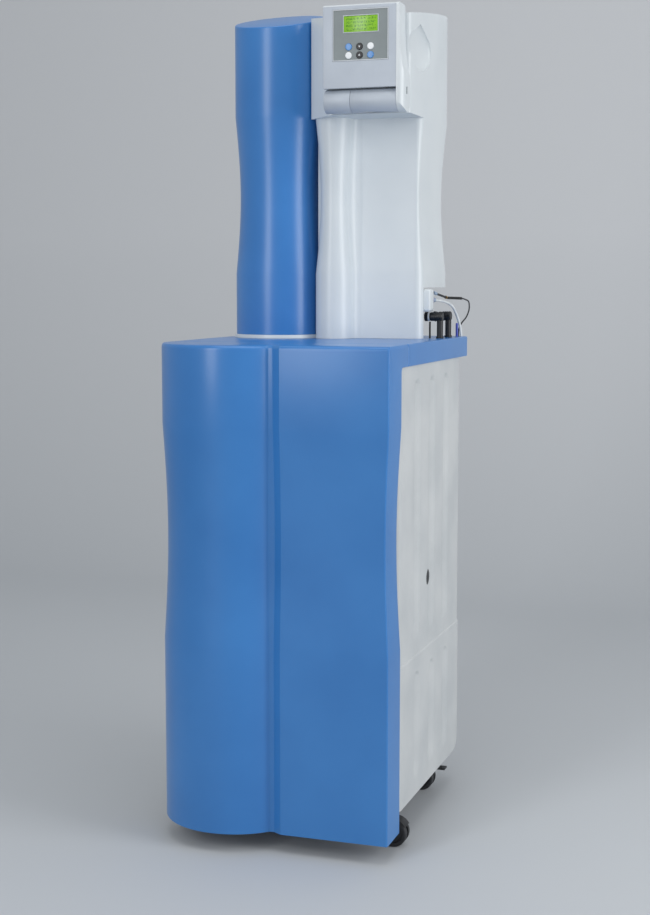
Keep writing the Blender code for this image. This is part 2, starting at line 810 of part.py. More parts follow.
def tank(finish):
    made = tank_shell(finish)
    low, high = TANK_BOTTOM - OVERRUN, TANK_TOP + OVERRUN
    cut(made, box("service_bay", (-BAY_HALF, TANK_FRONT_Y - OVERRUN, low),
                  (BAY_HALF, BAY_BACK_Y, high)))
    cut(made, box("filler_pocket", (-BAY_HALF, BAY_BACK_Y - OVERRUN, POCKET_FLOOR),
                  (BAY_HALF, POCKET_REAR_Y, high)))
    cut(made, tank_cavity())
    for side in (-1, 1):
        for i in range(FLUTE_COUNT):
            y = FLUTE_FIRST_Y + i * FLUTE_PITCH
            cut(made, flute(side, y, FLUTE_UPPER_TOP, FLUTE_UPPER_BOTTOM, FLUTE_SHORT_RAMP,
                            FLUTE_LONG_RAMP, 0))
            cut(made, flute(side, y, FLUTE_LOWER_TOP, FLUTE_LOWER_BOTTOM, FLUTE_SHORT_RAMP,
                            FLUTE_LONG_RAMP, LEDGE_STEP))
        cut(made, rod("side_recess", (side * (TANK_HALF - SIDE_PORT_DEPTH), SIDE_PORT_Y, SIDE_PORT_Z),
                      (side * (TANK_HALF + OVERRUN), SIDE_PORT_Y, SIDE_PORT_Z), SIDE_PORT_RADIUS))
    fuse(made, rod("filler_neck", (NECK_X, NECK_Y, POCKET_FLOOR - TANK_WALL / 2),
                   (NECK_X, NECK_Y, POCKET_FLOOR + NECK_HEIGHT), NECK_RADIUS))
    below = POCKET_FLOOR - TANK_WALL - OVERRUN
    holes = [(NECK_X, NECK_BORE), (SENSOR_X, SENSOR_RADIUS + FIT), (VENT_X, VENT_NECK_RADIUS + FIT)]
    for x, radius in holes:
        cut(made, rod("shoulder_hole", (x, NECK_Y, below),
                      (x, NECK_Y, POCKET_FLOOR + NECK_HEIGHT + OVERRUN), radius))
    valve = rod("drain_hole", (VALVE_X, BAY_BACK_Y - OVERRUN, VALVE_Z),
                (VALVE_X, BAY_BACK_Y + TANK_WALL + OVERRUN, VALVE_Z), VALVE_RADIUS + FIT)
    return cut(made, valve)


def tank_cap(finish):
    """A cap that turns a quarter on the filler neck and hangs over its rim."""
    neck_top = POCKET_FLOOR + NECK_HEIGHT + FIT
    top = neck_top + CAP_WALL
    inner = NECK_RADIUS + 2 * FIT
    profile = [(0, top), (CAP_RADIUS - CAP_WALL / 2, top), (CAP_RADIUS, top - CAP_WALL / 2),
               (CAP_RADIUS, top - CAP_HEIGHT), (inner, top - CAP_HEIGHT), (inner, neck_top),
               (0, neck_top)]
    low = [(radius, z - top) for radius, z in profile]
    return turned("tank_cap", low, (NECK_X, NECK_Y, top), finish)


def level_sensor(finish):
    seat = POCKET_FLOOR + FIT
    profile = [(0, SENSOR_HEAD_HEIGHT), (SENSOR_HEAD_RADIUS, SENSOR_HEAD_HEIGHT),
               (SENSOR_HEAD_RADIUS, 0), (SENSOR_RADIUS, 0), (SENSOR_RADIUS, -SENSOR_LENGTH),
               (0, -SENSOR_LENGTH)]
    return turned("level_sensor", profile, (SENSOR_X, NECK_Y, seat), finish, steps=16)


def vent_filter(finish):
    seat = POCKET_FLOOR + FIT
    edge = VENT_RADIUS / 6
    profile = [(0, VENT_HEIGHT), (VENT_RADIUS - edge, VENT_HEIGHT), (VENT_RADIUS, VENT_HEIGHT - edge),
               (VENT_RADIUS, 0), (VENT_NECK_RADIUS, 0), (VENT_NECK_RADIUS, -VENT_NECK_LENGTH),
               (0, -VENT_NECK_LENGTH)]
    return turned("vent_filter", profile, (VENT_X, NECK_Y, seat), finish, steps=20)


def drain_valve(finish):
    """A valve through the tank's front wall. Its bonnet carries the lever."""
    flange = BAY_BACK_Y - FIT
    front = flange - VALVE_LENGTH
    rear = BAY_BACK_Y + TANK_WALL
    made = rod("drain_valve", (VALVE_X, front, VALVE_Z), (VALVE_X, rear, VALVE_Z), VALVE_RADIUS, finish)
    plate = rod("valve_flange", (VALVE_X, flange - VALVE_FLANGE, VALVE_Z), (VALVE_X, flange, VALVE_Z),
                VALVE_FLANGE_RADIUS)
    middle_y = flange - VALVE_LENGTH / 2
    bonnet = rod("valve_bonnet", (VALVE_X, middle_y, VALVE_Z),
                 (VALVE_X, middle_y, VALVE_Z + VALVE_RADIUS + VALVE_BONNET), VALVE_BORE)
    bore = rod("valve_bore", (VALVE_X, front - OVERRUN, VALVE_Z),
               (VALVE_X, front + VALVE_LENGTH / 3, VALVE_Z), VALVE_BORE)
    socket = rod("stem_socket", (VALVE_X, middle_y, VALVE_Z + VALVE_RADIUS),
                 (VALVE_X, middle_y, VALVE_Z + VALVE_RADIUS + VALVE_BONNET + OVERRUN),
                 LEVER_STEM_RADIUS + FIT)
    return cut(fuse(made, plate, bonnet), bore, socket)


def drain_lever(finish):
    y = BAY_BACK_Y - FIT - VALVE_LENGTH / 2
    bottom = VALVE_Z + VALVE_RADIUS + VALVE_BONNET + FIT
    stem_bottom = bottom - VALVE_BONNET
    top = bottom + LEVER_THICKNESS
    made = box("drain_lever", (VALVE_X - LEVER_WIDTH / 2, y - LEVER_LENGTH, bottom),
               (VALVE_X + LEVER_WIDTH / 2, y + LEVER_WIDTH / 2, top), finish,
               (VALVE_X, y, bottom))
    stem = rod("lever_stem", (VALVE_X, y, stem_bottom), (VALVE_X, y, bottom + LEVER_THICKNESS / 2),
               LEVER_STEM_RADIUS)
    return fuse(made, stem)


# Service compartment

def pump_motor(finish):
    z = TANK_BOTTOM + MOTOR_FOOT + MOTOR_RADIUS
    right = MOTOR_X + MOTOR_LENGTH / 2
    made = rod("pump_motor", (MOTOR_X - MOTOR_LENGTH / 2, MOTOR_Y, z), (right, MOTOR_Y, z),
               MOTOR_RADIUS, finish)
    foot = box("motor_foot", (MOTOR_X - MOTOR_LENGTH / 3, MOTOR_Y - MOTOR_FOOT_WIDTH / 2, TANK_BOTTOM),
               (MOTOR_X + MOTOR_LENGTH / 3, MOTOR_Y + MOTOR_FOOT_WIDTH / 2,
                TANK_BOTTOM + MOTOR_FOOT + MOTOR_RADIUS / 2))
    return fuse(made, foot)


def pump_head(finish):
    z = TANK_BOTTOM + MOTOR_FOOT + MOTOR_RADIUS
    left = MOTOR_X + MOTOR_LENGTH / 2 + FIT
    edge = PUMP_RADIUS / 8
    profile = [(0, PUMP_LENGTH), (PUMP_RADIUS - edge, PUMP_LENGTH), (PUMP_RADIUS, PUMP_LENGTH - edge),
               (PUMP_RADIUS, 0), (0, 0)]
    return turned("pump_head", profile, (left, MOTOR_Y, z), finish, axis="X")


def pretreatment_cartridge(finish):
    edge = CARTRIDGE_RADIUS / 4
    profile = [(0, CARTRIDGE_LENGTH), (CARTRIDGE_RADIUS, CARTRIDGE_LENGTH), (CARTRIDGE_RADIUS, edge),
               (CARTRIDGE_RADIUS - edge, 0), (0, 0)]
    return turned("pretreatment_cartridge", profile, (CARTRIDGE_X, CARTRIDGE_Y, CARTRIDGE_Z), finish)


def cartridge_head(finish):
    """The head that the cartridge screws into, on a block fixed to the tank's front wall."""
    bottom = CARTRIDGE_Z + CARTRIDGE_LENGTH + FIT
    top = bottom + CARTRIDGE_CAP
    radius = CARTRIDGE_RADIUS + CARTRIDGE_CAP_RIM
    made = rod("cartridge_head", (CARTRIDGE_X, CARTRIDGE_Y, bottom), (CARTRIDGE_X, CARTRIDGE_Y, top),
               radius, finish)
    block = box("head_block", (CARTRIDGE_X - CARTRIDGE_RADIUS / 2, CARTRIDGE_Y, bottom + CARTRIDGE_CAP_RIM),
                (CARTRIDGE_X + CARTRIDGE_RADIUS / 2, BAY_BACK_Y - FIT, top - CARTRIDGE_CAP_RIM))
    return fuse(made, block)


# Base frame and casters

def stems():
    """Where the caster stems stand, and which way each caster trails from its stem."""
    return (("front_left", FRONT_LEFT_STEM_X, FRONT_LEFT_STEM_Y, (0, -1)),
            ("front_right", FRONT_RIGHT_STEM_X, FRONT_RIGHT_STEM_Y, (1, 0)),
            ("rear_left", -REAR_STEM_X, REAR_STEM_Y, (-1, 0)),
            ("rear_right", REAR_STEM_X, REAR_STEM_Y, (-1, 0)))


def beside(x, y, trail, far, side, z):
    """A point by its distance from the stem along the trail, and to its left."""
    return (x + trail[0] * far - trail[1] * side, y + trail[1] * far + trail[0] * side, z)


def brick(name, one, other):
    """A box between two opposite corners in any order."""
    return box(name, tuple(map(min, one, other)), tuple(map(max, one, other)))


def base_frame(finish):
    outline = rounded(-BASE_WIDTH / 2, BASE_WIDTH / 2, BASE_FRONT_Y, BASE_REAR_Y, BASE_CORNER,
                      BASE_CORNER, 2)
    made = prism("base_frame", outline, BASE_BOTTOM, BASE_TOP, "Z", finish)
    for _, x, y, _ in stems():
        fuse(made, rod("caster_stem", (x, y, BASE_BOTTOM - STEM_LENGTH), (x, y, BASE_TOP - FIT),
                       STEM_RADIUS, sides=16))
    return made


def caster_hood(name, x, y, trail, finish):
    """A twin-wheel caster's body: a shield over the wheels, a middle web and the stem's socket."""
    def at(far, side, z=WHEEL_RADIUS):
        return beside(x, y, trail, CASTER_TRAIL + far, side, z)

    half, web_half, top = CASTER_HALF_WIDTH, CASTER_WEB / 2, BASE_BOTTOM - FIT
    made = rod("caster_hood_" + name, at(0, -half), at(0, half), HOOD_RADIUS, finish,
               (x, y, BASE_BOTTOM), 20)
    far, side = HOOD_RADIUS + OVERRUN, half + OVERRUN
    cut(made, brick("hood_lower_cut", at(-far, -side, -OVERRUN), at(far, side, HOOD_EDGE_Z)))
    web = rod("caster_web", at(0, -web_half), at(0, web_half), WEB_RADIUS, sides=16)
    rise = brick("caster_rise", at(-WEB_RADIUS, -web_half), at(WEB_RADIUS, web_half, 2 * WHEEL_RADIUS))
    boss = rod("stem_boss", (x, y, HOOD_EDGE_Z + FIT), (x, y, top), BOSS_RADIUS, sides=16)
    fuse(made, web, rise, boss)
    cut(made, rod("stem_socket", (x, y, BASE_BOTTOM - STEM_LENGTH - FIT), (x, y, top + OVERRUN),
                  STEM_RADIUS + FIT, sides=16))
    cut(made, rod("axle_hole", at(0, -half), at(0, half), AXLE_RADIUS + FIT, sides=12))
    inner = WHEEL_RADIUS + HOOD_CLEARANCE
    for end in (-1, 1):
        cut(made, rod("wheel_gap", at(0, end * web_half), at(0, end * side), inner, sides=20))
    return made


def wheelset(name, x, y, trail, finish):
    """Two wheels on one axle."""
    outer = CASTER_HALF_WIDTH
    inner = outer - WHEEL_WIDTH
    edge = WHEEL_RADIUS - WHEEL_EDGE
    profile = [(0, outer), (edge, outer), (WHEEL_RADIUS, outer - WHEEL_EDGE), (WHEEL_RADIUS, inner),
               (AXLE_RADIUS, inner), (AXLE_RADIUS, -inner), (WHEEL_RADIUS, -inner),
               (WHEEL_RADIUS, WHEEL_EDGE - outer), (edge, -outer), (0, -outer)]
    return turned("wheelset_" + name, profile, beside(x, y, trail, CASTER_TRAIL, 0, WHEEL_RADIUS),
                  finish, "Y" if trail[0] else "X", WHEEL_STEPS)


def brake_pedal(name, x, y, trail, finish):
    """A tread pressed down to stop the wheels, turning on a pin across the socket, away from them."""
    def at(far, side, rise=0):
        return beside(x, y, trail, far, side, PEDAL_Z + rise)

    near, half = -(BOSS_RADIUS + PEDAL_PIN_RADIUS + FIT), PEDAL_WIDTH / 2
    made = rod("brake_pedal_" + name, at(near, -half), at(near, half), PEDAL_PIN_RADIUS, finish, sides=12)
    rise = PEDAL_THICKNESS / 2
    tread = brick("pedal_tread", at(near, -half, -rise), at(near - PEDAL_LENGTH, half, rise))
    return fuse(made, tread)


# Column cover and osmosis modules

def cover_radius(z):
    return COVER_RADIUS - waist(z, COVER_WAIST_BOTTOM, COVER_WAIST_TOP, COVER_WAIST)


def slope_tool(name, drop):
    """All that lies above the cover's slanted top, lowered by a wall for its inside."""
    reach = COVER_RADIUS + OVERRUN
    rise = COVER_SLOPE * reach
    outline = [(COVER_Y - reach, COVER_TOP - rise - drop), (COVER_Y + reach, COVER_TOP + rise - drop),
               (COVER_Y + reach, ROOF_CLEAR + OVERRUN), (COVER_Y - reach, ROOF_CLEAR + OVERRUN)]
    return prism(name, outline, COVER_X - reach, COVER_X + reach, "X")


def blue_cover(finish):
    bottom = ON_DECK + FOOT_HEIGHT + FIT
    origin_z = bottom
    waist_z = steps_between(COVER_WAIST_BOTTOM, COVER_WAIST_TOP, WAIST_STEPS)[::-1]
    profile = [(0, ROOF_CLEAR), (COVER_RADIUS, ROOF_CLEAR)]
    profile += [(cover_radius(z), z) for z in waist_z] + [(COVER_RADIUS, bottom), (0, bottom)]
    inside = [(max(r - COVER_WALL, 0), z) for r, z in profile[:-2]]
    inside += [(COVER_RADIUS - COVER_WALL, bottom - OVERRUN), (0, bottom - OVERRUN)]
    place = (COVER_X, COVER_Y, origin_z)
    made = turned("blue_cover", [(r, z - origin_z) for r, z in profile], place, finish, steps=COVER_STEPS)
    hollow = turned("cover_inside", [(r, z - origin_z) for r, z in inside], place, steps=COVER_STEPS)
    return cut(made, slope_tool("cover_slope", 0), cut(hollow, slope_tool("inside_slope", COVER_WALL)))


def cover_foot(finish):
    outer = COVER_RADIUS - COVER_WALL - SPIGOT_GAP
    inner = outer - SPIGOT_WALL
    top = FOOT_HEIGHT + SPIGOT_HEIGHT
    profile = [(inner, top), (outer - SPIGOT_GAP, top), (outer, top - SPIGOT_GAP), (outer, FOOT_HEIGHT),
               (FOOT_RADIUS, FOOT_HEIGHT), (FOOT_RADIUS, 0), (inner, 0)]
    return turned("cover_foot", profile, (COVER_X, COVER_Y, ON_DECK), finish, steps=COVER_STEPS)


def module_manifold(finish):
    edge = MANIFOLD_HEIGHT / 8
    profile = [(0, MANIFOLD_HEIGHT), (MANIFOLD_RADIUS - edge, MANIFOLD_HEIGHT),
               (MANIFOLD_RADIUS, MANIFOLD_HEIGHT - edge), (MANIFOLD_RADIUS, 0), (0, 0)]
    return turned("module_manifold", profile, (COVER_X, COVER_Y, ON_DECK), finish)


def ro_module(name, side, finish):
    bottom = ON_DECK + MANIFOLD_HEIGHT + FIT
    top = MODULE_LENGTH
    edge = MODULE_RADIUS / 6
    profile = [(0, top + MODULE_PORT_LENGTH), (MODULE_PORT_RADIUS, top + MODULE_PORT_LENGTH),
               (MODULE_PORT_RADIUS, top), (MODULE_RADIUS - edge, top), (MODULE_RADIUS, top - edge),
               (MODULE_RADIUS, edge), (MODULE_RADIUS - edge, 0), (0, 0)]
    place = (COVER_X + side * MODULE_SPACING / 2, COVER_Y, bottom)
    return turned("ro_module_" + name, profile, place, finish)


def module_clamp(finish):
    """A plate round both modules, on two posts that stand on the manifold."""
    top = CLAMP_Z + CLAMP_THICKNESS
    made = rod("module_clamp", (COVER_X, COVER_Y, CLAMP_Z), (COVER_X, COVER_Y, top), CLAMP_RADIUS, finish)
    for side in (-1, 1):
        x = COVER_X + side * MODULE_SPACING / 2
        cut(made, rod("module_hole", (x, COVER_Y, CLAMP_Z - OVERRUN), (x, COVER_Y, top + OVERRUN),
                      MODULE_RADIUS + FIT))
        y = COVER_Y + side * POST_OFFSET
        fuse(made, rod("clamp_post", (COVER_X, y, ON_DECK + MANIFOLD_HEIGHT + FIT),
                       (COVER_X, y, top - CLAMP_THICKNESS / 4), POST_RADIUS, sides=12))
    return made


# White column and hood

def bay_outline(inset, cradle):
    """The column in plan: bay wall, trough, rounded nose and the cradle round the cover."""
    rear, left = HALF_DEPTH - BODY_CORNER, BODY_LEFT + BODY_CORNER
    right = BODY_RIGHT - BODY_CORNER
    corner = BODY_CORNER - inset
    trough_x = NOSE_X + NOSE_RADIUS + TROUGH_RADIUS
    trough = (trough_x, NOSE_Y)
    return (arc((right, BAY_WALL_Y + BODY_CORNER), corner, 270, 360)
            + arc((right, rear), corner, 0, 90) + arc((left, rear), corner, 90, 180)
            + [(BODY_LEFT + inset, COVER_Y + CRADLE_RADIUS)]
            + arc((COVER_X, COVER_Y), cradle, CRADLE_REAR_ANGLE, CRADLE_FRONT_ANGLE, 12)
            + arc((NOSE_X, NOSE_Y), NOSE_RADIUS - inset, 180, 360, 10)
            + arc(trough, TROUGH_RADIUS + inset, 180, 90)[1:])


def bay_column(name, inset, bottom, top, finish=None, origin=(0, 0, 0)):
    heights = [bottom] + steps_between(BODY_WAIST_BOTTOM, HOOD_BOTTOM, WAIST_STEPS)
    if top > HOOD_BOTTOM:
        heights.append(top)
    rings = []
    for z in heights:
        drawn = inset + waist(z, BODY_WAIST_BOTTOM, HOOD_BOTTOM, BODY_WAIST)
        rings.append(at_height(bay_outline(drawn, CRADLE_RADIUS + inset), z))
    return loft(name, rings, finish, origin)


def hood_outline(inset):
    rear, left = HALF_DEPTH - BODY_CORNER, BODY_LEFT + BODY_CORNER
    right = BODY_RIGHT - BODY_CORNER
    corner = BODY_CORNER - inset
    front = HOOD_FRONT_Y + inset
    return (arc((BODY_RIGHT - HOOD_CORNER, HOOD_FRONT_Y + HOOD_CORNER), HOOD_CORNER - inset, 270, 360)
            + arc((right, rear), corner, 0, 90) + arc((left, rear), corner, 90, 180)
            + [(BODY_LEFT + inset, COVER_Y + CRADLE_RADIUS)]
            + arc((COVER_X, COVER_Y), CRADLE_RADIUS + inset, CRADLE_REAR_ANGLE, HOOD_CRADLE_ANGLE, 12)
            + [(HOOD_LEFT_X + inset, front)])


def roof_height(y):
    """The roof rises to its crest near the rear, and drops a little behind it."""
    if y >= ROOF_CREST_Y:
        share = (y - ROOF_CREST_Y) / (HALF_DEPTH - ROOF_CREST_Y)
        return ROOF_CREST - (ROOF_CREST - ROOF_REAR) * share ** 2
    share = (ROOF_CREST_Y - y) / (ROOF_CREST_Y - HOOD_FRONT_Y)
    return ROOF_CREST - (ROOF_CREST - ROOF_FRONT) * share ** ROOF_POWER


def roof_tool(name, drop):
    """All that lies above the hood's roof, lowered by a wall for its inside."""
    front, rear = HOOD_FRONT_Y - OVERRUN, HALF_DEPTH + OVERRUN
    line = steps_between(HOOD_FRONT_Y, ROOF_CREST_Y, 8) + steps_between(ROOF_CREST_Y, HALF_DEPTH, 3)[1:]
    outline = [(y, roof_height(y) - drop) for y in [front] + line + [rear]]
    outline += [(rear, ROOF_CLEAR + OVERRUN), (front, ROOF_CLEAR + OVERRUN)]
    return prism(name, outline, BODY_LEFT - OVERRUN, BODY_RIGHT + OVERRUN, "X")


def scoop_tool(name, grow):
    """A drop-shaped dish for the fingers, pointed at the top, or that dish grown by a wall."""
    rings = []
    for depth_share, size_share in ((-0.5, 1.06), (0, 1), (0.45, 0.86), (0.8, 0.6), (1, 0.3)):
        x = BODY_RIGHT - (SCOOP_DEPTH + grow) * depth_share
        radius = (SCOOP_RADIUS + grow) * size_share
        tip = (SCOOP_TIP + grow) * size_share
        round_end = arc((SCOOP_Y, SCOOP_Z), radius, 150, 390, 14)
        rings.append([(x, y, z) for y, z in round_end + [(SCOOP_Y, SCOOP_Z + tip)]])
    return loft(name, rings)


def connector_pocket(name, grow):
    return box(name, (CONNECTOR_POCKET_X - grow, CONNECTOR_POCKET_Y - grow, DECK_HEIGHT - OVERRUN),
               (BODY_RIGHT + OVERRUN, HALF_DEPTH + OVERRUN, CONNECTOR_POCKET_TOP + grow))


def rear_hole(name, x, z, width, height, slack):
    half, rise = width / 2 + slack, height / 2 + slack
    return box(name, (x - half, HALF_DEPTH - 2 * OVERRUN, z - rise),
               (x + half, HALF_DEPTH + OVERRUN, z + rise))


def upper_body(finish):
    made = bay_column("upper_body", 0, ON_DECK, HOOD_BOTTOM, finish,
                      ((BODY_LEFT + BODY_RIGHT) / 2, (BAY_WALL_Y + HALF_DEPTH) / 2, ON_DECK))
    hood = loft("hood", [at_height(hood_outline(0), z) for z in (HOOD_BOTTOM, ROOF_CLEAR)])
    cut(hood, roof_tool("roof", 0))
    hood_hollow = loft("hood_hollow", [at_height(hood_outline(BODY_WALL), z)
                                       for z in (HOOD_BOTTOM + BODY_WALL, ROOF_CLEAR)])
    cut(hood_hollow, roof_tool("roof_inside", BODY_WALL), scoop_tool("scoop_wall", BODY_WALL))
    column_hollow = bay_column("column_hollow", BODY_WALL, DECK_HEIGHT - OVERRUN,
                               HOOD_BOTTOM + BODY_WALL + OVERRUN)
    cut(column_hollow, connector_pocket("pocket_wall", BODY_WALL))
    fuse(made, hood)
    cut(made, column_hollow, hood_hollow, connector_pocket("connector_pocket", 0),
        scoop_tool("scoop", 0))
    cut(made, box("panel_opening", (PANEL_X - PANEL_HALF_WIDTH, HALF_DEPTH - 2 * OVERRUN, PANEL_BOTTOM),
                  (PANEL_X + PANEL_HALF_WIDTH, HALF_DEPTH + OVERRUN, PANEL_TOP)))
    cut(made, rear_hole("inlet_hole", INLET_X, INLET_Z, INLET_WIDTH, INLET_HEIGHT, FIT))
    return cut(made, box("switch_hole", (SWITCH_X - SWITCH_WIDTH / 2 - FIT, HALF_DEPTH - 2 * OVERRUN,
                                         INLET_Z - SWITCH_HEIGHT / 2 - SWITCH_SLACK),
                         (SWITCH_X + SWITCH_WIDTH / 2 + FIT, HALF_DEPTH + OVERRUN,
                          INLET_Z + SWITCH_HEIGHT / 2 + SWITCH_SLACK)))


def back_panel(finish):
    left, right = PANEL_X - PANEL_HALF_WIDTH + FIT, PANEL_X + PANEL_HALF_WIDTH - FIT
    rings = []
    for z in ([PANEL_BOTTOM + FIT] + steps_between(BODY_WAIST_BOTTOM, HOOD_BOTTOM, WAIST_STEPS)
              + [PANEL_TOP - FIT]):
        rear = HALF_DEPTH - waist(z, BODY_WAIST_BOTTOM, HOOD_BOTTOM, BODY_WAIST)
        front = rear - PANEL_THICKNESS
        rings.append([(left, front, z), (right, front, z), (right, rear, z), (left, rear, z)])
    return loft("back_panel", rings, finish, (PANEL_X, HALF_DEPTH, PANEL_BOTTOM))


def booster_pump(finish):
    edge = BOOSTER_RADIUS / 5
    profile = [(0, BOOSTER_LENGTH), (BOOSTER_RADIUS - edge, BOOSTER_LENGTH),
               (BOOSTER_RADIUS, BOOSTER_LENGTH - edge), (BOOSTER_RADIUS, 0), (0, 0)]
    return turned("booster_pump", profile, (BOOSTER_X, BOOSTER_Y, ON_DECK), finish)


def power_supply(finish):
    return box("power_supply", (SUPPLY_X - SUPPLY_WIDTH / 2, SUPPLY_Y - SUPPLY_DEPTH / 2, ON_DECK),
               (SUPPLY_X + SUPPLY_WIDTH / 2, SUPPLY_Y + SUPPLY_DEPTH / 2, ON_DECK + SUPPLY_HEIGHT),
               finish)


def control_board(finish):
    """A circuit board on four pegs that stand on the hood's floor."""
    floor = HOOD_BOTTOM + BODY_WALL + FIT
    bottom = floor + CONTROL_PEG
    half_x, half_y = CONTROL_WIDTH / 2, CONTROL_DEPTH / 2
    made = box("control_board", (CONTROL_X - half_x, CONTROL_Y - half_y, bottom),
               (CONTROL_X + half_x, CONTROL_Y + half_y, bottom + BOARD_THICKNESS), finish)
    for side_x in (-1, 1):
        for side_y in (-1, 1):
            x = CONTROL_X + side_x * (half_x - BOARD_MARGIN)
            y = CONTROL_Y + side_y * (half_y - BOARD_MARGIN)
            fuse(made, rod("board_peg", (x, y, floor), (x, y, bottom + BOARD_THICKNESS / 2),
                           CONTROL_PEG_RADIUS, sides=8))
    return made


def power_inlet(finish):
    """A mains inlet, set into the rear wall with an open socket."""
    rear = HALF_DEPTH - INLET_WALL / 2
    low = (INLET_X - INLET_WIDTH / 2, rear - INLET_DEPTH, INLET_Z - INLET_HEIGHT / 2)
    high = (INLET_X + INLET_WIDTH / 2, rear, INLET_Z + INLET_HEIGHT / 2)
    made = box("power_inlet", low, high, finish)
    wall = INLET_WALL
    socket = box("inlet_socket", (low[0] + wall, low[1] + wall, low[2] + wall),
                 (high[0] - wall, high[1] + OVERRUN, high[2] - wall))
    return cut(made, socket)


def power_switch(finish):
    """A rocker with a dished front, turning about its middle."""
    y = HALF_DEPTH - SWITCH_SET_BACK
    half = SWITCH_HEIGHT / 2
    outline = [(y + SWITCH_DEPTH, INLET_Z + half), (y - half / 2, INLET_Z + half),
               (y - half, INLET_Z), (y - half / 2, INLET_Z - half),
               (y + SWITCH_DEPTH, INLET_Z - half), (y + SWITCH_DEPTH - SWITCH_DISH, INLET_Z)]
    return prism("power_switch", outline, SWITCH_X - SWITCH_WIDTH / 2, SWITCH_X + SWITCH_WIDTH / 2, "X",
                 finish, (SWITCH_X, y, INLET_Z))


# Display head

def head_profile(front, rear, top):
    """The head from the side: round the barrel's axis below, two small corners above."""
    radius = (rear - front) / 2
    centre = front + radius
    corner = HEAD_CORNER
    return (arc((centre, BARREL_Z), radius, 180, 360, 10)
            + arc((rear - corner, top - corner), corner, 0, 90)
            + arc((front + corner, top - corner), corner, 90, 180))


def head_plan():
    """The head from above, with a large round at its right front edge."""
    corner = HEAD_SIDE_CORNER
    return ([(HEAD_LEFT, HEAD_REAR_Y), (HEAD_LEFT, HEAD_FRONT_Y)]
            + arc((BODY_RIGHT - corner, HEAD_FRONT_Y + corner), corner, 270, 360)
            + [(BODY_RIGHT, HEAD_REAR_Y)])


def display_head(finish):
    origin = (CHEEK_LEFT, BARREL_Y, BARREL_Z)
    made = prism("display_head", head_profile(HEAD_FRONT_Y, HEAD_REAR_Y, HEAD_TOP), HEAD_LEFT,
                 BODY_RIGHT, "X", finish, origin)
    low = BARREL_Z - BARREL_RADIUS - OVERRUN
    keep_common(made, prism("head_round", head_plan(), low, HEAD_TOP + OVERRUN, "Z"))
    cut(made, box("barrel_room", (HEAD_LEFT - OVERRUN, HEAD_FRONT_Y - OVERRUN, low),
                  (CHEEK_LEFT, HEAD_REAR_Y + OVERRUN, FASCIA_BOTTOM)))
    front = HEAD_FRONT_Y + FASCIA_THICKNESS + FIT
    left = HEAD_LEFT + FASCIA_MARGIN
    cut(made, box("fascia_seat", (HEAD_LEFT - OVERRUN, HEAD_FRONT_Y - OVERRUN, low),
                  (CHEEK_LEFT, front, HEAD_TOP + OVERRUN)))
    inner_right = CHEEK_LEFT - HEAD_WALL
    cut(made, box("head_hollow", (left + HEAD_WALL, HEAD_FRONT_Y - OVERRUN, FASCIA_BOTTOM + HEAD_WALL),
                  (inner_right, HEAD_REAR_Y - HEAD_REAR_WALL, HEAD_TOP - HEAD_WALL - FASCIA_MARGIN)))
    stub = rod("stub_bore", (CHEEK_LEFT - OVERRUN, BARREL_Y, BARREL_Z),
               (CHEEK_LEFT + STUB_LENGTH, BARREL_Y, BARREL_Z), STUB_RADIUS + FIT)
    return cut(made, stub)


def key_places():
    return [(KEY_FIRST_X + column * KEY_PITCH, z) for z in (KEY_UPPER_Z, KEY_LOWER_Z)
            for column in range(KEY_COLUMNS)]


def key_holes(front, rear):
    return [rod("key_hole", (x, front - OVERRUN, z), (x, rear + OVERRUN, z), KEY_RADIUS + FIT, sides=KEY_STEPS)
            for x, z in key_places()]


def fascia(finish):
    """The silver front of the head, with the panel's shallow seat and the holes of the keys."""
    front, rear = HEAD_FRONT_Y, HEAD_FRONT_Y + FASCIA_THICKNESS
    left, right = HEAD_LEFT, CHEEK_LEFT - FIT
    made = box("fascia", (left, front, FASCIA_BOTTOM), (right, rear, HEAD_TOP - HEAD_CORNER / 2), finish)
    seat = box("panel_seat", (SCREEN_LEFT - FIT, front - OVERRUN, SCREEN_BOTTOM - FIT),
               (SCREEN_RIGHT + FIT, front + SCREEN_THICKNESS + FIT - SCREEN_PROUD, SCREEN_TOP + FIT))
    return cut(made, seat, *key_holes(front, rear))


def display_panel(finish):
    front = HEAD_FRONT_Y - SCREEN_PROUD
    rear = front + SCREEN_THICKNESS
    made = box("display_panel", (SCREEN_LEFT, front, SCREEN_BOTTOM), (SCREEN_RIGHT, rear, SCREEN_TOP),
               finish)
    window = box("window", (LCD_LEFT, front - OVERRUN, LCD_BOTTOM), (LCD_RIGHT, rear + OVERRUN, LCD_TOP))
    return cut(made, window, *key_holes(front, rear))


def lcd_window(finish):
    rear = HEAD_FRONT_Y - SCREEN_PROUD + SCREEN_THICKNESS
    return box("lcd_window", (LCD_LEFT + FIT, HEAD_FRONT_Y, LCD_BOTTOM + FIT),
               (LCD_RIGHT - FIT, rear, LCD_TOP - FIT), finish)


def display_board(finish):
    """The keys' circuit board, on pegs from the head's rear wall."""
    front = HEAD_FRONT_Y - KEY_PROUD + key_length() + KEY_TRAVEL + FIT
    rear = front + BOARD_THICKNESS
    wall = HEAD_REAR_Y - HEAD_REAR_WALL - FIT
    low, high = KEY_LOWER_Z - BOARD_MARGIN, LCD_TOP
    made = box("display_board", (LCD_LEFT, front, low), (LCD_RIGHT, rear, high), finish)
    for x in (LCD_LEFT + BOARD_MARGIN, LCD_RIGHT - BOARD_MARGIN):
        for z in (low + BOARD_MARGIN, high - BOARD_MARGIN):
            fuse(made, rod("board_peg", (x, front + BOARD_THICKNESS / 2, z), (x, wall, z),
                           BOARD_PEG_RADIUS, sides=8))
    return made


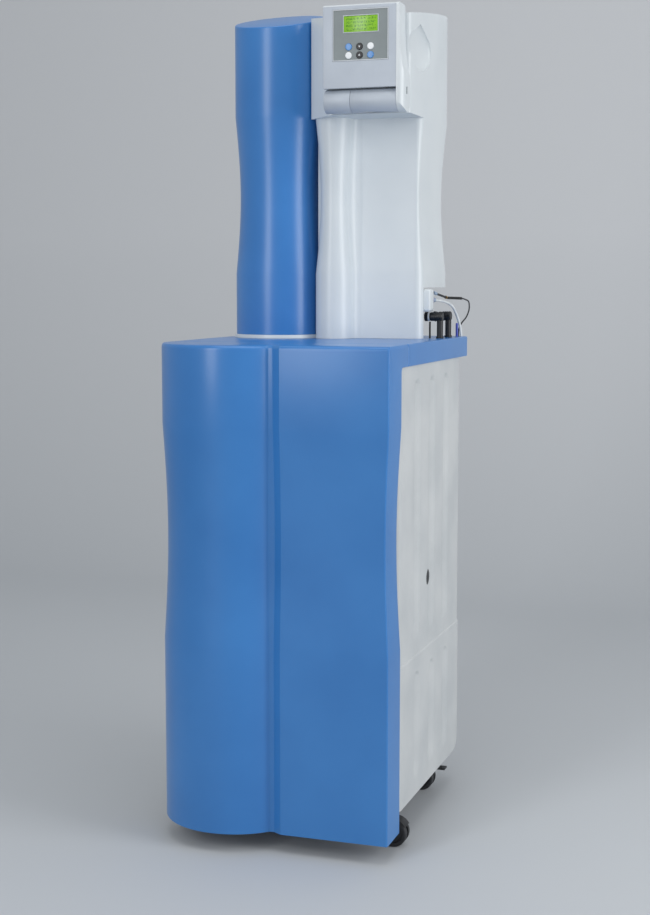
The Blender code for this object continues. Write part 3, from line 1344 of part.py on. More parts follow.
def key_length():
    return KEY_PROUD + FASCIA_THICKNESS + FIT + KEY_FLANGE + KEY_STEM


def key(number, x, z, finish):
    """A round key: a domed head through the panel, a flange behind the fascia, and a stem."""
    behind = KEY_PROUD + FASCIA_THICKNESS + FIT
    flange = KEY_RADIUS + KEY_RIM
    stem = KEY_RADIUS / 2
    profile = [(0, key_length()), (stem, key_length()), (stem, behind + KEY_FLANGE),
               (flange, behind + KEY_FLANGE), (flange, behind), (KEY_RADIUS, behind),
               (KEY_RADIUS, KEY_RIM / 2), (KEY_RADIUS - KEY_RIM, 0), (0, 0)]
    return turned(f"key_{number}", profile, (x, HEAD_FRONT_Y - KEY_PROUD, z), finish, "Y", KEY_STEPS)


def barrel_body(finish):
    """The fixed part of the barrel: a foot to the hood, the head's pivot stub, the knob's spindle."""
    made = rod("barrel_body", (SPLIT_X + FIT, BARREL_Y, BARREL_Z), (CHEEK_LEFT - FIT, BARREL_Y, BARREL_Z),
               BARREL_RADIUS, finish)
    stub = rod("pivot_stub", (SPLIT_X + BARREL_RADIUS, BARREL_Y, BARREL_Z),
               (CHEEK_LEFT + STUB_LENGTH - FIT, BARREL_Y, BARREL_Z), STUB_RADIUS)
    spindle = rod("knob_spindle", (SPLIT_X - SPINDLE_LENGTH, BARREL_Y, BARREL_Z),
                  (SPLIT_X + BARREL_RADIUS, BARREL_Y, BARREL_Z), STUB_RADIUS)
    half = BARREL_RADIUS / 2
    foot = box("barrel_foot", (NOZZLE_X - half, BARREL_Y, BARREL_Z - half),
               (NOZZLE_X + half, HOOD_FRONT_Y - FIT, BARREL_Z + half))
    bottom = BARREL_Z - BARREL_RADIUS
    recess = rod("nozzle_recess", (NOZZLE_X, BARREL_Y, bottom - OVERRUN),
                 (NOZZLE_X, BARREL_Y, bottom + NOZZLE_DEPTH), NOZZLE_RADIUS, sides=16)
    top, outer = NOZZLE_DEPTH + FIT, NOZZLE_RADIUS - NOZZLE_RISE
    profile = [(NOZZLE_BORE, top), (outer, top), (outer - NOZZLE_RISE, NOZZLE_RISE),
               (NOZZLE_BORE, NOZZLE_RISE)]
    nozzle = turned("outlet_nozzle", profile, (NOZZLE_X, BARREL_Y, bottom), steps=16)
    return fuse(cut(fuse(made, stub, spindle, foot), recess), nozzle)


def dispense_knob(finish):
    """The barrel's left part, which turns on the spindle to open the outlet."""
    edge = BARREL_RADIUS / 12
    length = SPLIT_X - HEAD_LEFT
    bore = STUB_RADIUS + FIT
    profile = [(0, length), (BARREL_RADIUS, length), (BARREL_RADIUS, edge), (BARREL_RADIUS - edge, 0),
               (0, 0)]
    made = turned("dispense_knob", profile, (HEAD_LEFT, BARREL_Y, BARREL_Z), finish, "X")
    return cut(made, rod("spindle_bore", (SPLIT_X - SPINDLE_LENGTH - FIT, BARREL_Y, BARREL_Z),
                         (SPLIT_X + OVERRUN, BARREL_Y, BARREL_Z), bore))


# Fittings in the connector pocket

PROBE_ROUTE = [(0.190, 0.1508, 0.993), (0.190, 0.155, 0.993), (0.193, 0.185, 0.989),
               (0.197, 0.222, 0.984), (0.199, 0.232, 0.9825), (0.206, 0.246, 0.982),
               (0.213, 0.260, 0.9815), (0.2185, 0.271, 0.981)]
PROBE_SHARES = [1, 1, 1, 1, 1.25, 1.25, 1.25, 1]
CABLE_ROUTE = [(0.2190, 0.2720, 0.981), (0.222, 0.279, 0.9795), (0.228, 0.2865, 0.9755),
               (0.2295, 0.2885, 0.969), (0.2290, 0.2885, 0.957), (0.2235, 0.2880, 0.943),
               (0.215, 0.287, 0.932), (0.2092, 0.2867, 0.920), (0.2080, 0.2865, 0.905),
               (0.2080, 0.2865, 0.880)]
HOSE_ROUTE = [(0.186, 0.1508, 0.979), (0.186, 0.155, 0.979), (0.190, 0.185, 0.978),
              (0.197, 0.228, 0.974), (0.2025, 0.258, 0.965), (0.2065, 0.271, 0.952),
              (0.210, 0.2775, 0.938), (0.2135, 0.2805, 0.922), (0.2150, 0.281, 0.905),
              (0.2150, 0.281, 0.880)]


def connector_block(finish):
    return soften(box("connector_block", (BLOCK_LEFT, CONNECTOR_POCKET_Y + FIT, BLOCK_BOTTOM),
                      (BLOCK_RIGHT, BLOCK_REAR_Y, BLOCK_TOP), finish), BLOCK_EDGE, 2)


def elbow(name, y, finish):
    """An angled push fitting: a body along X and a leg down to the lid."""
    leg_x = ELBOW_RIGHT - ELBOW_LEG_RADIUS
    made = rod(name, (ELBOW_LEFT, y, ELBOW_Z), (ELBOW_RIGHT, y, ELBOW_Z), ELBOW_RADIUS, finish, sides=20)
    leg = rod("elbow_leg", (leg_x, y, ON_DECK), (leg_x, y, ELBOW_Z), ELBOW_LEG_RADIUS, sides=16)
    return fuse(made, leg)


# Assembly

def build():
    clear_scene()
    blue, white, grey = blue_plastic(), white_plastic(), grey_polyethylene()
    rubber, black, silver = black_rubber(), black_plastic(), silver_paint()
    metal, board = zinc(), board_green()

    door(blue)
    hinge_bracket("hinge_bracket_lower", LOWER_BRACKET_Z, metal)
    hinge_bracket("hinge_bracket_upper", UPPER_BRACKET_Z, metal)
    door_magnet(black)
    lid(blue)
    tank(grey)
    tank_cap(black)
    level_sensor(black)
    vent_filter(white)
    drain_valve(white)
    drain_lever(black)
    pump_motor(black)
    pump_head(metal)
    pretreatment_cartridge(white)
    cartridge_head(black)

    base_frame(metal)
    for name, x, y, trail in stems():
        hood = caster_hood(name, x, y, trail, black)
        carry(hood, wheelset(name, x, y, trail, rubber))
        if name.startswith("rear"):
            carry(hood, brake_pedal(name, x, y, trail, black))

    blue_cover(blue)
    cover_foot(white)
    module_manifold(white)
    ro_module("left", -1, white)
    ro_module("right", 1, white)
    module_clamp(grey)

    upper_body(white)
    back_panel(white)
    booster_pump(black)
    power_supply(metal)
    control_board(board)
    power_inlet(black)
    power_switch(black)

    head = display_head(white)
    carry(head, fascia(silver), display_panel(dark_panel()), lcd_window(lit_display()),
          display_board(board))
    finishes = (blue, black, white, white, black, blue)
    for number, ((x, z), finish) in enumerate(zip(key_places(), finishes), 1):
        carry(head, key(number, x, z, finish))
    barrel_body(white)
    dispense_knob(white)

    connector_block(white)
    tube("conductivity_sensor", PROBE_ROUTE, PROBE_RADIUS, black, PROBE_SHARES)
    tube("sensor_cable", CABLE_ROUTE, CABLE_RADIUS, black)
    tube("product_hose", HOSE_ROUTE, HOSE_RADIUS, white)
    elbow("elbow_front", FRONT_ELBOW_Y, black)
    elbow("elbow_rear", REAR_ELBOW_Y, black)
    rod("level_tube", (LEVEL_TUBE_X, FRONT_ELBOW_Y, ON_DECK),
        (LEVEL_TUBE_X, FRONT_ELBOW_Y, ELBOW_Z - ELBOW_RADIUS - FIT), LEVEL_TUBE_RADIUS, black, sides=10)
    rod("blue_tube", (BLUE_TUBE_X, BLUE_TUBE_Y, ON_DECK),
        (BLUE_TUBE_X, BLUE_TUBE_Y, ON_DECK + BLUE_TUBE_HEIGHT), BLUE_TUBE_RADIUS, tube_blue(), sides=10)


build()
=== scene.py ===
import math

import bmesh
import bpy
from mathutils import Matrix, Vector


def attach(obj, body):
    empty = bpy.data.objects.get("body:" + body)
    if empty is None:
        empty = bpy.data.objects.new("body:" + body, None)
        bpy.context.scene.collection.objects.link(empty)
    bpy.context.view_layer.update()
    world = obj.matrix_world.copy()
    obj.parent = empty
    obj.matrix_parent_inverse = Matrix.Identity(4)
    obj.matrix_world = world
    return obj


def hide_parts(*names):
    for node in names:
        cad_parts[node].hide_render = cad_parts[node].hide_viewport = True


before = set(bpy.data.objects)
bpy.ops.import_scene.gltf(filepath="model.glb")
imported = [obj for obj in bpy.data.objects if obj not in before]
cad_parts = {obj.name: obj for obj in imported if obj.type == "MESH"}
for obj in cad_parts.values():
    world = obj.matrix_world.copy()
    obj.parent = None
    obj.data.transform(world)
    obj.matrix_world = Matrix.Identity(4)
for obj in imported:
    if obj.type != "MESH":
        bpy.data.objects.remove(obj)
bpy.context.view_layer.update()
print("stage: frame loaded")

# the whole unit, in metres, with its front at -Y and the floor at zero
unit = dict(halfWidth=0.226, halfDepth=0.301, deck=0.905, gap=0.0003, beyond=0.012)


# Colours and finishes
def linear(colour):
    # a written colour such as "2F73B8" as Blender's linear values
    parts = [int(colour[i:i + 2], 16) / 255 for i in (0, 2, 4)]
    return tuple(p / 12.92 if p <= 0.04045 else ((p + 0.055) / 1.055) ** 2.4 for p in parts) + (1.0,)


def surface(slot, light, dark, rough, patch, grain, bump, metal=0.0, coat=0.0, coatRough=0.1):
    # a finish between two colours and two roughnesses, with the scales of its patches and its grain
    return dict(slot=slot, light=light, dark=dark, rough=rough, patch=patch, grain=grain, bump=bump, metal=metal,
                coat=coat, coatRough=coatRough)


looks = {
    "blueShell": surface("blue_gloss", "3A80C6", "3378BE", (0.27, 0.35), 5, 900, 0.01, coat=0.22, coatRough=0.22),
    "whiteShell": surface("white_gloss", "DBE1E4", "D3DADE", (0.30, 0.40), 6, 800, 0.012, coat=0.12,
                          coatRough=0.25),
    "tankGrey": surface("grey_poly", "CDD0D1", "C2C6C8", (0.46, 0.60), 9, 420, 0.05),
    "blackPlastic": surface("black_matte", "222327", "17181A", (0.34, 0.48), 20, 700, 0.03),
    "cableSkin": surface("cable_rubber", "3C3D42", "2C2D31", (0.45, 0.6), 30, 600, 0.03),
    "wheelTread": surface("cable_rubber", "3A3B3E", "26272A", (0.5, 0.7), 30, 500, 0.05),
    "silverPaint": surface("silver_paint", "BCC4CE", "B2BAC5", (0.42, 0.52), 14, 1500, 0.012, metal=0.08),
    "darkFilm": surface("panel_grey", "7F898B", "737D7F", (0.30, 0.42), 18, 1100, 0.015),
    "frameLip": surface("silver_paint", "D2D7DC", "C6CCD2", (0.25, 0.35), 20, 900, 0.01),
    "keyBlue": surface("key_blue", "5E9AD8", "4E8BCC", (0.22, 0.30), 60, 900, 0.01),
    "tubeViolet": surface("key_blue", "5263C4", "4653B4", (0.25, 0.35), 60, 900, 0.01),
    "whiteKey": surface("white_gloss", "EDF0F2", "E3E8EB", (0.22, 0.30), 60, 900, 0.01),
    "hoseWhite": surface("white_gloss", "E6EAEC", "D8DEE2", (0.25, 0.4), 40, 700, 0.015),
    "clearBand": surface("white_gloss", "9FB2C8", "8DA3BC", (0.12, 0.22), 50, 900, 0.01),
    "nutViolet": surface("white_gloss", "9A9DB8", "8688A6", (0.3, 0.4), 60, 900, 0.02),
    "brassRing": surface("pump_brass", "C9A25A", "AE8643", (0.2, 0.34), 60, 1200, 0.02, metal=1.0),
    "zincPlate": surface("steel", "BFC1C4", "A5A8AC", (0.28, 0.46), 30, 300, 0.03, metal=1.0),
    "castBrass": surface("pump_brass", "B8944F", "8F7038", (0.35, 0.55), 40, 260, 0.12, metal=1.0),
    "motorPaint": surface("motor_paint", "2A2C30", "1B1C1F", (0.32, 0.48), 25, 380, 0.06),
    "boardGreen": surface("board_green", "1F6B3B", "0F4526", (0.35, 0.5), 160, 700, 0.04),
}


def wire(tree, node, inputs):
    # each input takes a value, or is linked to the output of another node
    for name, value in inputs.items():
        if isinstance(value, bpy.types.NodeSocket):
            tree.links.new(value, node.inputs[name])
        else:
            node.inputs[name].default_value = value


def addNode(tree, kind, output, inputs=(), **settings):
    node = tree.nodes.new(kind)
    for name, value in settings.items():
        setattr(node, name, value)
    wire(tree, node, dict(inputs))
    return node.outputs[output]


def blankMaterial(name):
    made = bpy.data.materials.new(name)
    made.use_nodes = True
    tree = made.node_tree
    return made, tree, tree.nodes["Principled BSDF"], addNode(tree, "ShaderNodeTexCoord", "Object")


def makeFinish(name, look):
    # mottled colour, uneven gloss and a fine moulded grain, all from the object's own coordinates
    made, tree, shader, where = blankMaterial(name)
    patches = addNode(tree, "ShaderNodeTexNoise", "Fac",
                      {"Vector": where, "Scale": look["patch"], "Detail": 4.0})
    spread = addNode(tree, "ShaderNodeMapRange", "Result",
                     {"Value": patches, "From Min": 0.35, "From Max": 0.65})
    colour = addNode(tree, "ShaderNodeMix", "Result",
                     {"Factor": spread, "A": linear(look["dark"]), "B": linear(look["light"])}, data_type="RGBA")
    grain = addNode(tree, "ShaderNodeTexNoise", "Fac",
                    {"Vector": where, "Scale": look["grain"], "Detail": 2.0})
    low, high = look["rough"]
    gloss = addNode(tree, "ShaderNodeMapRange", "Result", {"Value": patches, "To Min": low, "To Max": high})
    bump = addNode(tree, "ShaderNodeBump", "Normal",
                   {"Height": grain, "Strength": look["bump"] * 4, "Distance": 0.0004})
    wire(tree, shader, {"Base Color": colour, "Roughness": gloss, "Normal": bump, "Metallic": look["metal"],
                        "Coat Weight": look["coat"], "Coat Roughness": look["coatRough"]})
    made.diffuse_color = linear(look["light"])
    return made


finishes = {name: makeFinish(name, look) for name, look in looks.items()}


def makeScreen():
    # a lit green display with rows of small dark dots that spell nothing
    screen = dict(light="98CE32", dark="7DB826", dot="4E8A1E", cell=0.00115, row=0.0062, band=0.0042,
                  foot=1.4668, left=0.0705, right=0.1265, share=0.47, letter=6, patch=25.0, glow=0.04,
                  rough=0.22)
    made, tree, shader, where = blankMaterial("litScreen")
    x, z = (addNode(tree, "ShaderNodeSeparateXYZ", axis, {"Vector": where}) for axis in "XZ")

    def calc(how, a, b):
        return addNode(tree, "ShaderNodeMath", 0, {0: a, 1: b}, operation=how)

    def snapped(value):
        return calc("FLOOR", calc("DIVIDE", value, screen["cell"]), 0.0)

    spot = addNode(tree, "ShaderNodeCombineXYZ", "Vector", {"X": snapped(x), "Y": snapped(z)})
    chance = addNode(tree, "ShaderNodeTexWhiteNoise", "Value", {"Vector": spot}, noise_dimensions="2D")
    rise = calc("MODULO", calc("SUBTRACT", z, screen["foot"]), screen["row"])
    dots = calc("LESS_THAN", chance, screen["share"])
    for rule in (("LESS_THAN", rise, screen["band"]), ("GREATER_THAN", z, screen["foot"]),
                 ("GREATER_THAN", x, screen["left"]), ("LESS_THAN", x, screen["right"]),
                 ("GREATER_THAN", calc("MODULO", x, screen["cell"] * screen["letter"]), screen["cell"])):
        dots = calc("MULTIPLY", dots, calc(*rule))
    glow = addNode(tree, "ShaderNodeTexNoise", "Fac", {"Vector": where, "Scale": screen["patch"]})
    ground = addNode(tree, "ShaderNodeMix", "Result",
                     {"Factor": glow, "A": linear(screen["dark"]), "B": linear(screen["light"])}, data_type="RGBA")
    lit = addNode(tree, "ShaderNodeMix", "Result", {"Factor": dots, "A": ground, "B": linear(screen["dot"])},
                  data_type="RGBA")
    wire(tree, shader, {"Base Color": lit, "Emission Color": lit, "Emission Strength": screen["glow"],
                        "Roughness": screen["rough"]})
    return made


finishes["litScreen"] = makeScreen()
looks["litScreen"] = dict(slot="lcd_green")
print("stage: finishes made")


# Making meshes
def arcPoints(centre, radius, start, end, steps):
    turns = [math.radians(start + (end - start) * i / steps) for i in range(steps + 1)]
    return [(centre[0] + radius * math.cos(a), centre[1] + radius * math.sin(a)) for a in turns]


def between(low, high, count):
    return [low + (high - low) * i / count for i in range(count + 1)]


def quarterRound(size, turns=range(0, 91, 15)):
    # (drawn in, down from the end) for each step over a rounded edge
    angles = [math.radians(turn) for turn in turns]
    return [(size * (1 - math.cos(a)), size * (1 - math.sin(a))) for a in angles]


def atHeight(outline, z):
    return [(x, y, z) for x, y in outline]


def roundedPlan(left, right, front, rear, frontCorner, rearCorner, steps=12):
    return (arcPoints((left + rearCorner, rear - rearCorner), rearCorner, 90, 180, steps)
            + arcPoints((left + frontCorner, front + frontCorner), frontCorner, 180, 270, steps)
            + arcPoints((right - frontCorner, front + frontCorner), frontCorner, 270, 360, steps)
            + arcPoints((right - rearCorner, rear - rearCorner), rearCorner, 0, 90, steps))


def filletPath(corners, steps=5):
    # corners of (x, y, radius): each is replaced by an arc that touches both of its sides
    path = []
    for i, (x, y, radius) in enumerate(corners):
        here = Vector((x, y))
        if not radius:
            path.append((x, y))
            continue
        back = (Vector(corners[i - 1][:2]) - here).normalized()
        ahead = (Vector(corners[(i + 1) % len(corners)][:2]) - here).normalized()
        half = back.angle(ahead) / 2
        reach = radius / math.tan(half)
        middle = here + (back + ahead).normalized() * radius / math.sin(half)
        start, end = here + back * reach - middle, here + ahead * reach - middle
        turn = start.angle_signed(end)
        for k in range(steps + 1):
            spin = Matrix.Rotation(-turn * k / steps, 2)
            path.append(tuple(middle + spin @ start))
    return path


def drawnIn(z, low, high, depth):
    # how far a waisted wall is drawn in at a height
    return depth * math.sin(math.pi * (z - low) / (high - low)) if low < z < high else 0.0


def ringsMesh(rings):
    shape = bmesh.new()
    made = [[shape.verts.new(point) for point in ring] for ring in rings]
    for low, high in zip(made, made[1:]):
        for i, corner in enumerate(low):
            j = (i + 1) % len(low)
            shape.faces.new((corner, low[j], high[j], high[i]))
    shape.faces.new(made[0][::-1])
    shape.faces.new(made[-1])
    bmesh.ops.recalc_face_normals(shape, faces=shape.faces)
    return shape


def boxMesh(low, high):
    return ringsMesh([[(low[0], low[1], z), (high[0], low[1], z), (high[0], high[1], z), (low[0], high[1], z)]
                      for z in (low[2], high[2])])


def rodMesh(start, end, radius, sides=48, endRadius=None):
    shape = bmesh.new()
    start, end = Vector(start), Vector(end)
    bmesh.ops.create_cone(shape, cap_ends=True, segments=sides, radius1=radius,
                          radius2=radius if endRadius is None else endRadius, depth=(end - start).length)
    bmesh.ops.rotate(shape, verts=shape.verts, cent=(0, 0, 0),
                     matrix=(end - start).to_track_quat("Z", "Y").to_matrix())
    bmesh.ops.translate(shape, verts=shape.verts, vec=(start + end) / 2)
    return shape


def turnedMesh(profile, place, axis="Z", steps=64):
    # a profile of (radius, height) spun about an axis through a place
    shape = bmesh.new()
    points = [shape.verts.new((radius, 0, height)) for radius, height in profile]
    edges = [shape.edges.new(pair) for pair in zip(points, points[1:])]
    if profile[0][0] > 0:
        edges.append(shape.edges.new((points[-1], points[0])))
    bmesh.ops.spin(shape, geom=points + edges, cent=(0, 0, 0), axis=(0, 0, 1), angle=2 * math.pi,
                   steps=steps, use_merge=True)
    bmesh.ops.remove_doubles(shape, verts=shape.verts, dist=0.000002)
    bmesh.ops.dissolve_degenerate(shape, edges=shape.edges, dist=0.000001)
    turn = {"Z": (0, 0, 1), "X": (1, 0, 0), "Y": (0, 1, 0), "down": (0, 0, -1)}[axis]
    bmesh.ops.rotate(shape, verts=shape.verts, cent=(0, 0, 0),
                     matrix=Vector(turn).to_track_quat("Z", "Y").to_matrix())
    bmesh.ops.translate(shape, verts=shape.verts, vec=place)
    bmesh.ops.recalc_face_normals(shape, faces=shape.faces)
    return shape


def slabMesh(outline, low, high, axis):
    # a flat outline pushed along an axis: (y, z) along X, (x, z) along Y
    if axis == "X":
        rings = [[(x, a, b) for a, b in outline] for x in (low, high)]
    elif axis == "Y":
        rings = [[(a, y, b) for a, b in outline] for y in (low, high)]
    else:
        rings = [[(a, b, z) for a, b in outline] for z in (low, high)]
    return ringsMesh(rings)


def looseObject(shape):
    mesh = bpy.data.meshes.new("working")
    shape.to_mesh(mesh)
    shape.free()
    obj = bpy.data.objects.new("working", mesh)
    bpy.context.scene.collection.objects.link(obj)
    return obj


def carve(shape, tools, how="DIFFERENCE"):
    # takes each tool out of the shape, or joins it on, and gives back the solid that is left
    target = looseObject(shape)
    helpers = [looseObject(tool) for tool in tools]
    for helper in helpers:
        step = target.modifiers.new("carve", "BOOLEAN")
        step.operation = how
        step.solver = "EXACT"
        step.object = helper
    bpy.context.view_layer.update()
    graph = bpy.context.evaluated_depsgraph_get()
    mesh = bpy.data.meshes.new_from_object(target.evaluated_get(graph))
    made = bmesh.new()
    made.from_mesh(mesh)
    for obj in [target] + helpers:
        bpy.data.objects.remove(obj, do_unlink=True)
    return made


def roundEdges(shape, width, segments, wanted, angle=35):
    edges = [edge for edge in shape.edges if len(edge.link_faces) == 2
             and edge.calc_face_angle(0) > math.radians(angle)
             and wanted((edge.verts[0].co + edge.verts[1].co) / 2)]
    bmesh.ops.bevel(shape, geom=edges, offset=width, segments=segments, affect="EDGES", profile=0.5,
                    clamp_overlap=True)
    return shape


def tubeMesh(points, radius, sides=20, shares=None):
    # a round tube along points, with its rings turned without twist and both ends closed
    places = [Vector(p) for p in points]
    shares = shares or [1] * len(places)
    rings, side = [], None
    for i, place in enumerate(places):
        ahead = (places[min(i + 1, len(places) - 1)] - places[max(i - 1, 0)]).normalized()
        side = ahead.orthogonal() if side is None else side - ahead * side.dot(ahead)
        side.normalize()
        up = ahead.cross(side)
        rings.append([place + (side * math.cos(a) + up * math.sin(a)) * radius * shares[i]
                      for a in (2 * math.pi * k / sides for k in range(sides))])
    return ringsMesh(rings)


def curveThrough(points, count=6):
    # the same smooth line through a route's points as the solids follow
    places = [Vector(p) for p in points]
    places = [2 * places[0] - places[1]] + places + [2 * places[-1] - places[-2]]
    found = []
    for i in range(1, len(places) - 2):
        a, b, c, d = places[i - 1:i + 3]
        run = (c - b).length
        leave, arrive = (c - a).normalized() * run, (d - b).normalized() * run
        for step in range(count):
            t = step / count
            found.append(b * (2 * t ** 3 - 3 * t ** 2 + 1) + leave * (t ** 3 - 2 * t ** 2 + t)
                         + c * (3 * t ** 2 - 2 * t ** 3) + arrive * (t ** 3 - t ** 2))
    return found + [places[-2]]


def place(name, shape, finish, body="cabinet", nodes=(), sharp=32):
    # makes the piece, gives it its finish and hangs it on the body that moves it
    mesh = bpy.data.meshes.new(name)
    shape.to_mesh(mesh)
    shape.free()
    mesh.shade_smooth()
    mesh.set_sharp_from_angle(angle=math.radians(sharp))
    obj = bpy.data.objects.new(name, mesh)
    bpy.context.scene.collection.objects.link(obj)
    obj.data.materials.append(finishes[finish])
    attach(obj, body)
    if nodes:
        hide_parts(*nodes)
    return obj


# Door
doorPlan = dict(bulge=0.134, flatY=-0.269, ridgeX=0.028, grooveDeep=0.009, grooveRun=0.015, bottom=0.035,
                wall=0.004, corner=0.003, topRound=0.008, sideRound=0.003, waistLow=0.368, waistHigh=0.762,
                waist=0.008, strip=0.076, notchRound=0.008, seamY=-0.150, lidBottom=0.866)
hinge = dict(x=-0.213, y=-0.201, plates=(0.100, 0.838), plate=0.004, lug=0.0068, height=0.012,
             armWidth=0.006, armLength=0.021, armOffset=0.001, relief=0.0072, pin=0.0033)


def doorOutline(inset, side, rear, fine=44):
    p = doorPlan
    radius = p["bulge"] - inset
    centre = (side - unit["halfWidth"] + radius, p["bulge"] - unit["halfDepth"])
    groove = p["flatY"] + p["grooveDeep"] + inset
    meeting = 360 + math.degrees(math.asin((groove - centre[1]) / radius))
    right, front = unit["halfWidth"] - side, p["flatY"] + inset
    end = (centre[0] + radius * math.cos(math.radians(meeting)), groove)
    valley = filletPath([(end[0] - 0.02, end[1] - 0.012, 0), (end[0], end[1], 0.004),
                         (p["ridgeX"] - p["grooveRun"], groove, 0.004), (p["ridgeX"], front, 0.0016),
                         (p["ridgeX"] + 0.05, front, 0)])[1:-1]
    return ([(side - unit["halfWidth"], rear)] + arcPoints(centre, radius, 180, meeting - 3, fine)
            + valley + arcPoints((right - p["corner"], front + p["corner"]), p["corner"], 270, 360, 6)
            + [(right, rear)])


def doorRings(inset, bottom, top, topRound, rear, fine=44, waistSteps=36):
    p = doorPlan
    rings = []
    for z in [bottom] + between(p["waistLow"], p["waistHigh"], waistSteps):
        drawn = inset + drawnIn(z, p["waistLow"], p["waistHigh"], p["waist"])
        rings.append(atHeight(doorOutline(drawn, drawn, rear, fine), z))
    for lost, down in quarterRound(1) if topRound else [(0, 0)]:
        outline = doorOutline(inset + topRound * lost, inset + p["sideRound"] * lost, rear, fine)
        rings.append(atHeight(outline, top - topRound * down))
    return rings


def makeDoor():
    p, h, far = doorPlan, hinge, unit["beyond"]
    shell = ringsMesh(doorRings(0, p["bottom"], unit["deck"], p["topRound"], p["seamY"]))
    hollow = ringsMesh(doorRings(p["wall"], p["bottom"] - far, unit["deck"] - p["wall"], 0,
                                 p["seamY"] + far, 24, 18))
    low, back = p["bottom"] - far, p["seamY"] + far
    stripY = p["flatY"] + p["strip"]
    notch = ([(stripY, low), (back, low), (back, p["lidBottom"])]
             + arcPoints((stripY + p["notchRound"], p["lidBottom"] - p["notchRound"]), p["notchRound"],
                         90, 180, 10))
    right = slabMesh(notch, 0, unit["halfWidth"] + far, "X")
    left = boxMesh((-unit["halfWidth"] - far, h["y"], low), (0, back, p["lidBottom"]))
    made = carve(shell, [hollow, right, left])
    for plate in h["plates"]:
        bottom = plate + h["plate"] + unit["gap"]
        top = bottom + h["height"]
        lug = rodMesh((h["x"], h["y"], bottom - h["plate"] / 2), (h["x"], h["y"], top), h["lug"])
        arm = boxMesh((h["x"] + h["armOffset"], h["y"] - h["armLength"], bottom + unit["gap"]),
                      (h["x"] + h["armOffset"] + h["armWidth"], h["y"], top))
        made = carve(carve(made, [lug, arm], "UNION"),
                     [rodMesh((h["x"], h["y"], plate - unit["gap"]), (h["x"], h["y"], bottom), h["relief"]),
                      rodMesh((h["x"], h["y"], plate), (h["x"], h["y"], top + far), h["pin"])])
    place("doorShell", made, "blueShell", "door", ["door"])


makeDoor()
print("stage: door made")


# Lid
lidPlan = dict(bottom=0.866, front=-0.147, wall=0.006, top=0.004, corner=0.014, edge=0.003, rib=0.008,
               ribX=0.120, hole=(0.2110, 0.284, 0.008))


def makeLid():
    p, far = lidPlan, unit["beyond"]
    half, rear, top = unit["halfWidth"], unit["halfDepth"], unit["deck"]
    rings = [atHeight(roundedPlan(-half, half, p["front"], rear, p["edge"], p["corner"]), p["bottom"])]
    for lost, down in quarterRound(p["edge"]):
        rings.append(atHeight(roundedPlan(lost - half, half - lost, p["front"] + lost / 4, rear - lost,
                                          p["edge"], p["corner"]), top - down))
    w = p["wall"]
    inner = roundedPlan(w - half, half - w, p["front"] + w, rear - w, p["edge"], p["corner"] - w)
    made = carve(ringsMesh(rings), [slabMesh(inner, p["bottom"] - far, top - p["top"], "Z")])
    ribs = [boxMesh((x - p["rib"] / 2, p["front"] + w / 2, p["bottom"]),
                    (x + p["rib"] / 2, rear - w / 2, top - p["top"] / 2)) for x in (-p["ribX"], p["ribX"])]
    made = carve(made, ribs, "UNION")
    x, y, radius = p["hole"]
    made = carve(made, [rodMesh((x, y, p["bottom"] + 0.01), (x, y, top + far), radius)])
    place("lidPlate", made, "blueShell", "cabinet", ["lid"])


makeLid()
print("stage: lid made")


# Tank
tankPlan = dict(half=0.2225, front=-0.190, rear=0.250, bottom=0.070, top=0.8657, wall=0.010, corner=0.014,
                ledge=0.334, step=0.002, toe=0.026, bayHalf=0.208, bayBack=-0.060, pocketRear=0.040,
                pocketFloor=0.740, neck=(-0.060, -0.010, 0.035, 0.030, 0.040),
                holes=((0.060, 0.0083), (0.130, 0.0083)), drain=(0.150, 0.130, 0.0103),
                port=(0.0135, 0.462, 0.018, 0.004), plug=(0.0160, 0.0012),
                # the rings stand close where the flutes begin and end, and at the ledge
                stops=(0.100, 0.136, 0.290, 0.3035, 0.3300, 0.332, 0.334, 0.3345, 0.356, 0.394, 0.828, 0.8425,
                       0.8657),
                ringCounts=(14, 8, 12, 4, 1, 3, 1, 4, 14, 20, 12, 4))
flutePlan = dict(width=0.040, deep=0.0055, arch=0.012, centres=(-0.075, 0.0285, 0.132),
                 runs=((0.358, 0.842, 0.034, 0.010), (0.100, 0.303, 0.034, 0.007)))


def smooth(share):
    share = min(max(share, 0), 1)
    return share * share * (3 - 2 * share)


def fluteDepth(y, z):
    # shallow upright grooves, round across, with a long ramp below and a short hooked end above
    deepest = 0
    for centre in flutePlan["centres"]:
        across = abs(y - centre) / (flutePlan["width"] / 2)
        for low, high, rampLow, rampHigh in flutePlan["runs"]:
            arch = across * across * flutePlan["arch"]
            if across >= 1 or not low < z < high - arch:
                continue
            along = min(smooth((z - low) / rampLow), smooth((high - arch - z) / rampHigh))
            deepest = max(deepest, flutePlan["deep"] * (1 - across ** 2) ** 0.8 * along)
    return deepest


